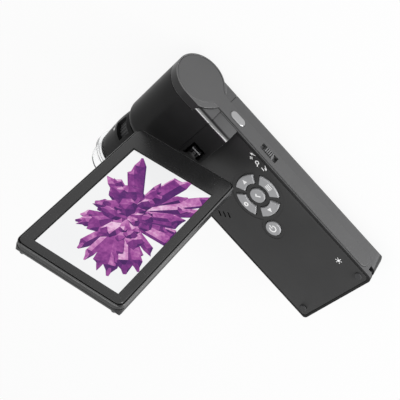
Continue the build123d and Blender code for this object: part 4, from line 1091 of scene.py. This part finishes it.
class MICROSCOPE_OT_keys(bpy.types.Operator):
    """Prints the symbols on the keys"""

    bl_idname = "microscope.keys"
    bl_label = "Key symbols"

    def execute(self, context):
        z = KEY_TOP_Z + PRINT_GAP
        (kx, ky), (px, py) = KEY_CENTRE, POWER_CENTRE
        reach = (KEY_RING[0] + KEY_RING[1]) / 2
        head = arrow_head(1.15, 1.15)
        tick = [(-1.5, 0.1), (-0.95, 0.6), (-0.35, -0.05), (1.15, 1.5), (1.65, 1.0), (-0.35, -1.1)]
        lines = [(bar(3.1, 0.52), 0, kx, ky + reach + row) for row in (-1, 0, 1)]
        self.print_on("key_left", [flat_shape("a", turned_about(head, 90, kx - reach, ky), z)])
        self.print_on("key_right", [flat_shape("a", turned_about(head, -90, kx + reach, ky), z)])
        self.print_on("key_menu", [flat_shape("a", turned_about(*line), z) for line in lines])
        self.print_on("key_gallery", [flat_ring("a", kx, ky - reach, z, 0.52, 1.3, 32)])
        self.print_on("key_ok", [flat_shape("a", turned_about(tick, 0, kx, ky), z)])
        ring = flat_ring("a", px, py, z, 1.4, 2.0, 40)
        with Editing(ring) as edit:
            edit.choose("faces", lambda f: centre_of(f).x < px - 1.3)
            bpy.ops.mesh.delete(type="FACE")
        stem = flat_shape("a", turned_about(bar(2.2, 0.5), 0, px - 1.4, py), z)
        self.print_on("key_power", [ring, stem])
        return {"FINISHED"}

    @staticmethod
    def print_on(key, shapes):
        """Puts a print on a key, named after it."""
        settings = bpy.context.scene.microscope_print
        name = key.replace("key_", "symbol_")
        mark(shapes, name, settings.thickness, bpy.data.materials["symbol_white"], key)


class MICROSCOPE_OT_nose(bpy.types.Operator):
    """Prints the focus arrow on the nose and the scale on the clear tip"""

    bl_idname = "microscope.nose"
    bl_label = "Nose marks"

    def execute(self, context):
        settings = context.scene.microscope_print
        outlines = (
            turned_about(arrow_head(0.85, 1.1), -90, 1.3, -34.4),
            turned_about(arrow_head(0.595, 0.77), 70, -2.2, -33.7),
            turned_about(bar(2.9, 0.4), -14, -0.6, -33.9),
        )
        arrow = join("focus_arrow", [flat_shape("a", outline, 0) for outline in outlines])
        self.wrap(arrow, NOSE_R + 0.06, 63)
        modify(arrow, "SOLIDIFY", thickness=settings.thickness, offset=1.0)
        paint(arrow, bpy.data.materials["symbol_white"])
        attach(arrow, "body")
        long, short = (
            flat_shape("a", turned_about(bar(0.3, length), 0, 0, TIP_EDGE - length / 2), 0)
            for length in (2.4, 1.4)
        )
        ticks = []
        for turn in range(0, 360, 6):
            tick = copied(short if turn % 30 else long)
            ticks.append(self.wrap(tick, TIP_R + 0.05, turn))
        for first in (long, short):
            bpy.data.objects.remove(first)
        scale = join("tip_scale", ticks)
        modify(scale, "SOLIDIFY", thickness=settings.thickness, offset=1.0)
        paint(scale, printed("scale_grey", (0.42, 0.42, 0.43)))
        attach(scale, "body")
        return {"FINISHED"}

    @staticmethod
    def wrap(obj, radius, start):
        """Wraps a flat shape round the barrel's axis, start degrees from the front."""
        x0, z0 = BARREL
        for vertex in obj.data.vertices:
            turn = math.radians(start) - vertex.co.x / MM / radius
            vertex.co.x = (x0 - radius * math.sin(turn)) * MM
            vertex.co.z = (z0 + radius * math.cos(turn)) * MM
        return obj


class MICROSCOPE_OT_stage(bpy.types.Operator):
    """Sets up the floor, the light and the camera"""

    bl_idname = "microscope.stage"
    bl_label = "Stage"

    def execute(self, context):
        settings = context.scene.microscope_stage
        deselect()
        bpy.ops.mesh.primitive_plane_add(size=6, location=(0, 0, -0.05 * MM))
        floor = made("floor")
        floor.data.materials.append(self.pale())
        context.scene.world = self.room(settings.sky)
        self.lamp("top_light", (0.05, -0.09, 0.7), (0.6, 0.3), settings.top)
        self.lamp("side_light", (0.4, 0.45, 0.08), (0.4, 0.3), settings.side)
        deselect()
        bpy.ops.object.camera_add(location=CAMERA_PLACE)
        camera = context.object
        camera.rotation_euler = Matrix(CAMERA_AXES).transposed().to_euler()
        camera.data.lens = settings.lens
        camera.data.sensor_width = 36
        camera.data.clip_start = 0.01
        context.scene.camera = camera
        context.scene.view_settings.view_transform = "Standard"
        return {"FINISHED"}

    @staticmethod
    def lamp(name, place, size, power):
        """A soft light that faces the microscope."""
        deselect()
        bpy.ops.object.light_add(type="AREA", location=place)
        lamp = bpy.context.object
        lamp.name = name
        lamp.data.shape = "RECTANGLE"
        lamp.data.size, lamp.data.size_y = size
        lamp.data.energy = power
        lamp.rotation_euler = Vector(place).to_track_quat("Z", "Y").to_euler()

    @staticmethod
    def pale():
        """Floor that looks plain white and keeps a soft shadow."""
        g = Graph("floor_white")
        plain = g.node("ShaderNodeBsdfDiffuse", {}, {"Color": (0.85, 0.85, 0.85, 1)})
        white = g.node("ShaderNodeEmission", {}, {"Color": (1, 1, 1, 1), "Strength": 1.0})
        share = (g.shown() * 0.9).clamped()
        return g.output(g.node("ShaderNodeMixShader", {}, {0: share, 1: plain, 2: white}))

    @staticmethod
    def room(sky):
        """Even light all round, plain white where it is seen."""
        g = Graph("room", "worlds")
        limits = {"Value": g.shown().clamped(), "To Min": sky, "To Max": 1.0}
        strength = g.node("ShaderNodeMapRange", {}, limits)
        ground = {"Color": (1, 1, 1, 1), "Strength": strength}
        return g.output(g.node("ShaderNodeBackground", {}, ground), "World")


class MICROSCOPE_PT_panel(bpy.types.Panel):
    """Lists the steps and their settings"""

    bl_idname = "MICROSCOPE_PT_panel"
    bl_label = "Microscope"
    bl_space_type = "VIEW_3D"
    bl_region_type = "UI"
    bl_category = "Microscope"

    def draw(self, context):
        for operator in OPERATORS:
            self.layout.operator(operator.bl_idname)
        for name, group in SETTINGS.items():
            box = self.layout.box()
            for prop in group.__annotations__:
                box.prop(getattr(context.scene, name), prop)


SETTINGS = {
    "microscope_casing": CasingSettings,
    "microscope_screen": ScreenSettings,
    "microscope_print": PrintSettings,
    "microscope_stage": StageSettings,
}
OPERATORS = (
    MICROSCOPE_OT_stage,
    MICROSCOPE_OT_casings,
    MICROSCOPE_OT_inside,
    MICROSCOPE_OT_bezel,
    MICROSCOPE_OT_picture,
    MICROSCOPE_OT_hinge,
    MICROSCOPE_OT_panel,
    MICROSCOPE_OT_keys,
    MICROSCOPE_OT_nose,
)
CLASSES = (*SETTINGS.values(), *OPERATORS, MICROSCOPE_PT_panel)


def register():
    for cls in CLASSES:
        bpy.utils.register_class(cls)
    for name, group in SETTINGS.items():
        setattr(bpy.types.Scene, name, bpy.props.PointerProperty(type=group))


def unregister():
    for name in SETTINGS:
        delattr(bpy.types.Scene, name)
    for cls in reversed(CLASSES):
        bpy.utils.unregister_class(cls)


def main():
    register()
    for operator in OPERATORS:
        group, name = operator.bl_idname.split(".")
        getattr(getattr(bpy.ops, group), name)()
    deselect()


if __name__ == "__main__":
    main()
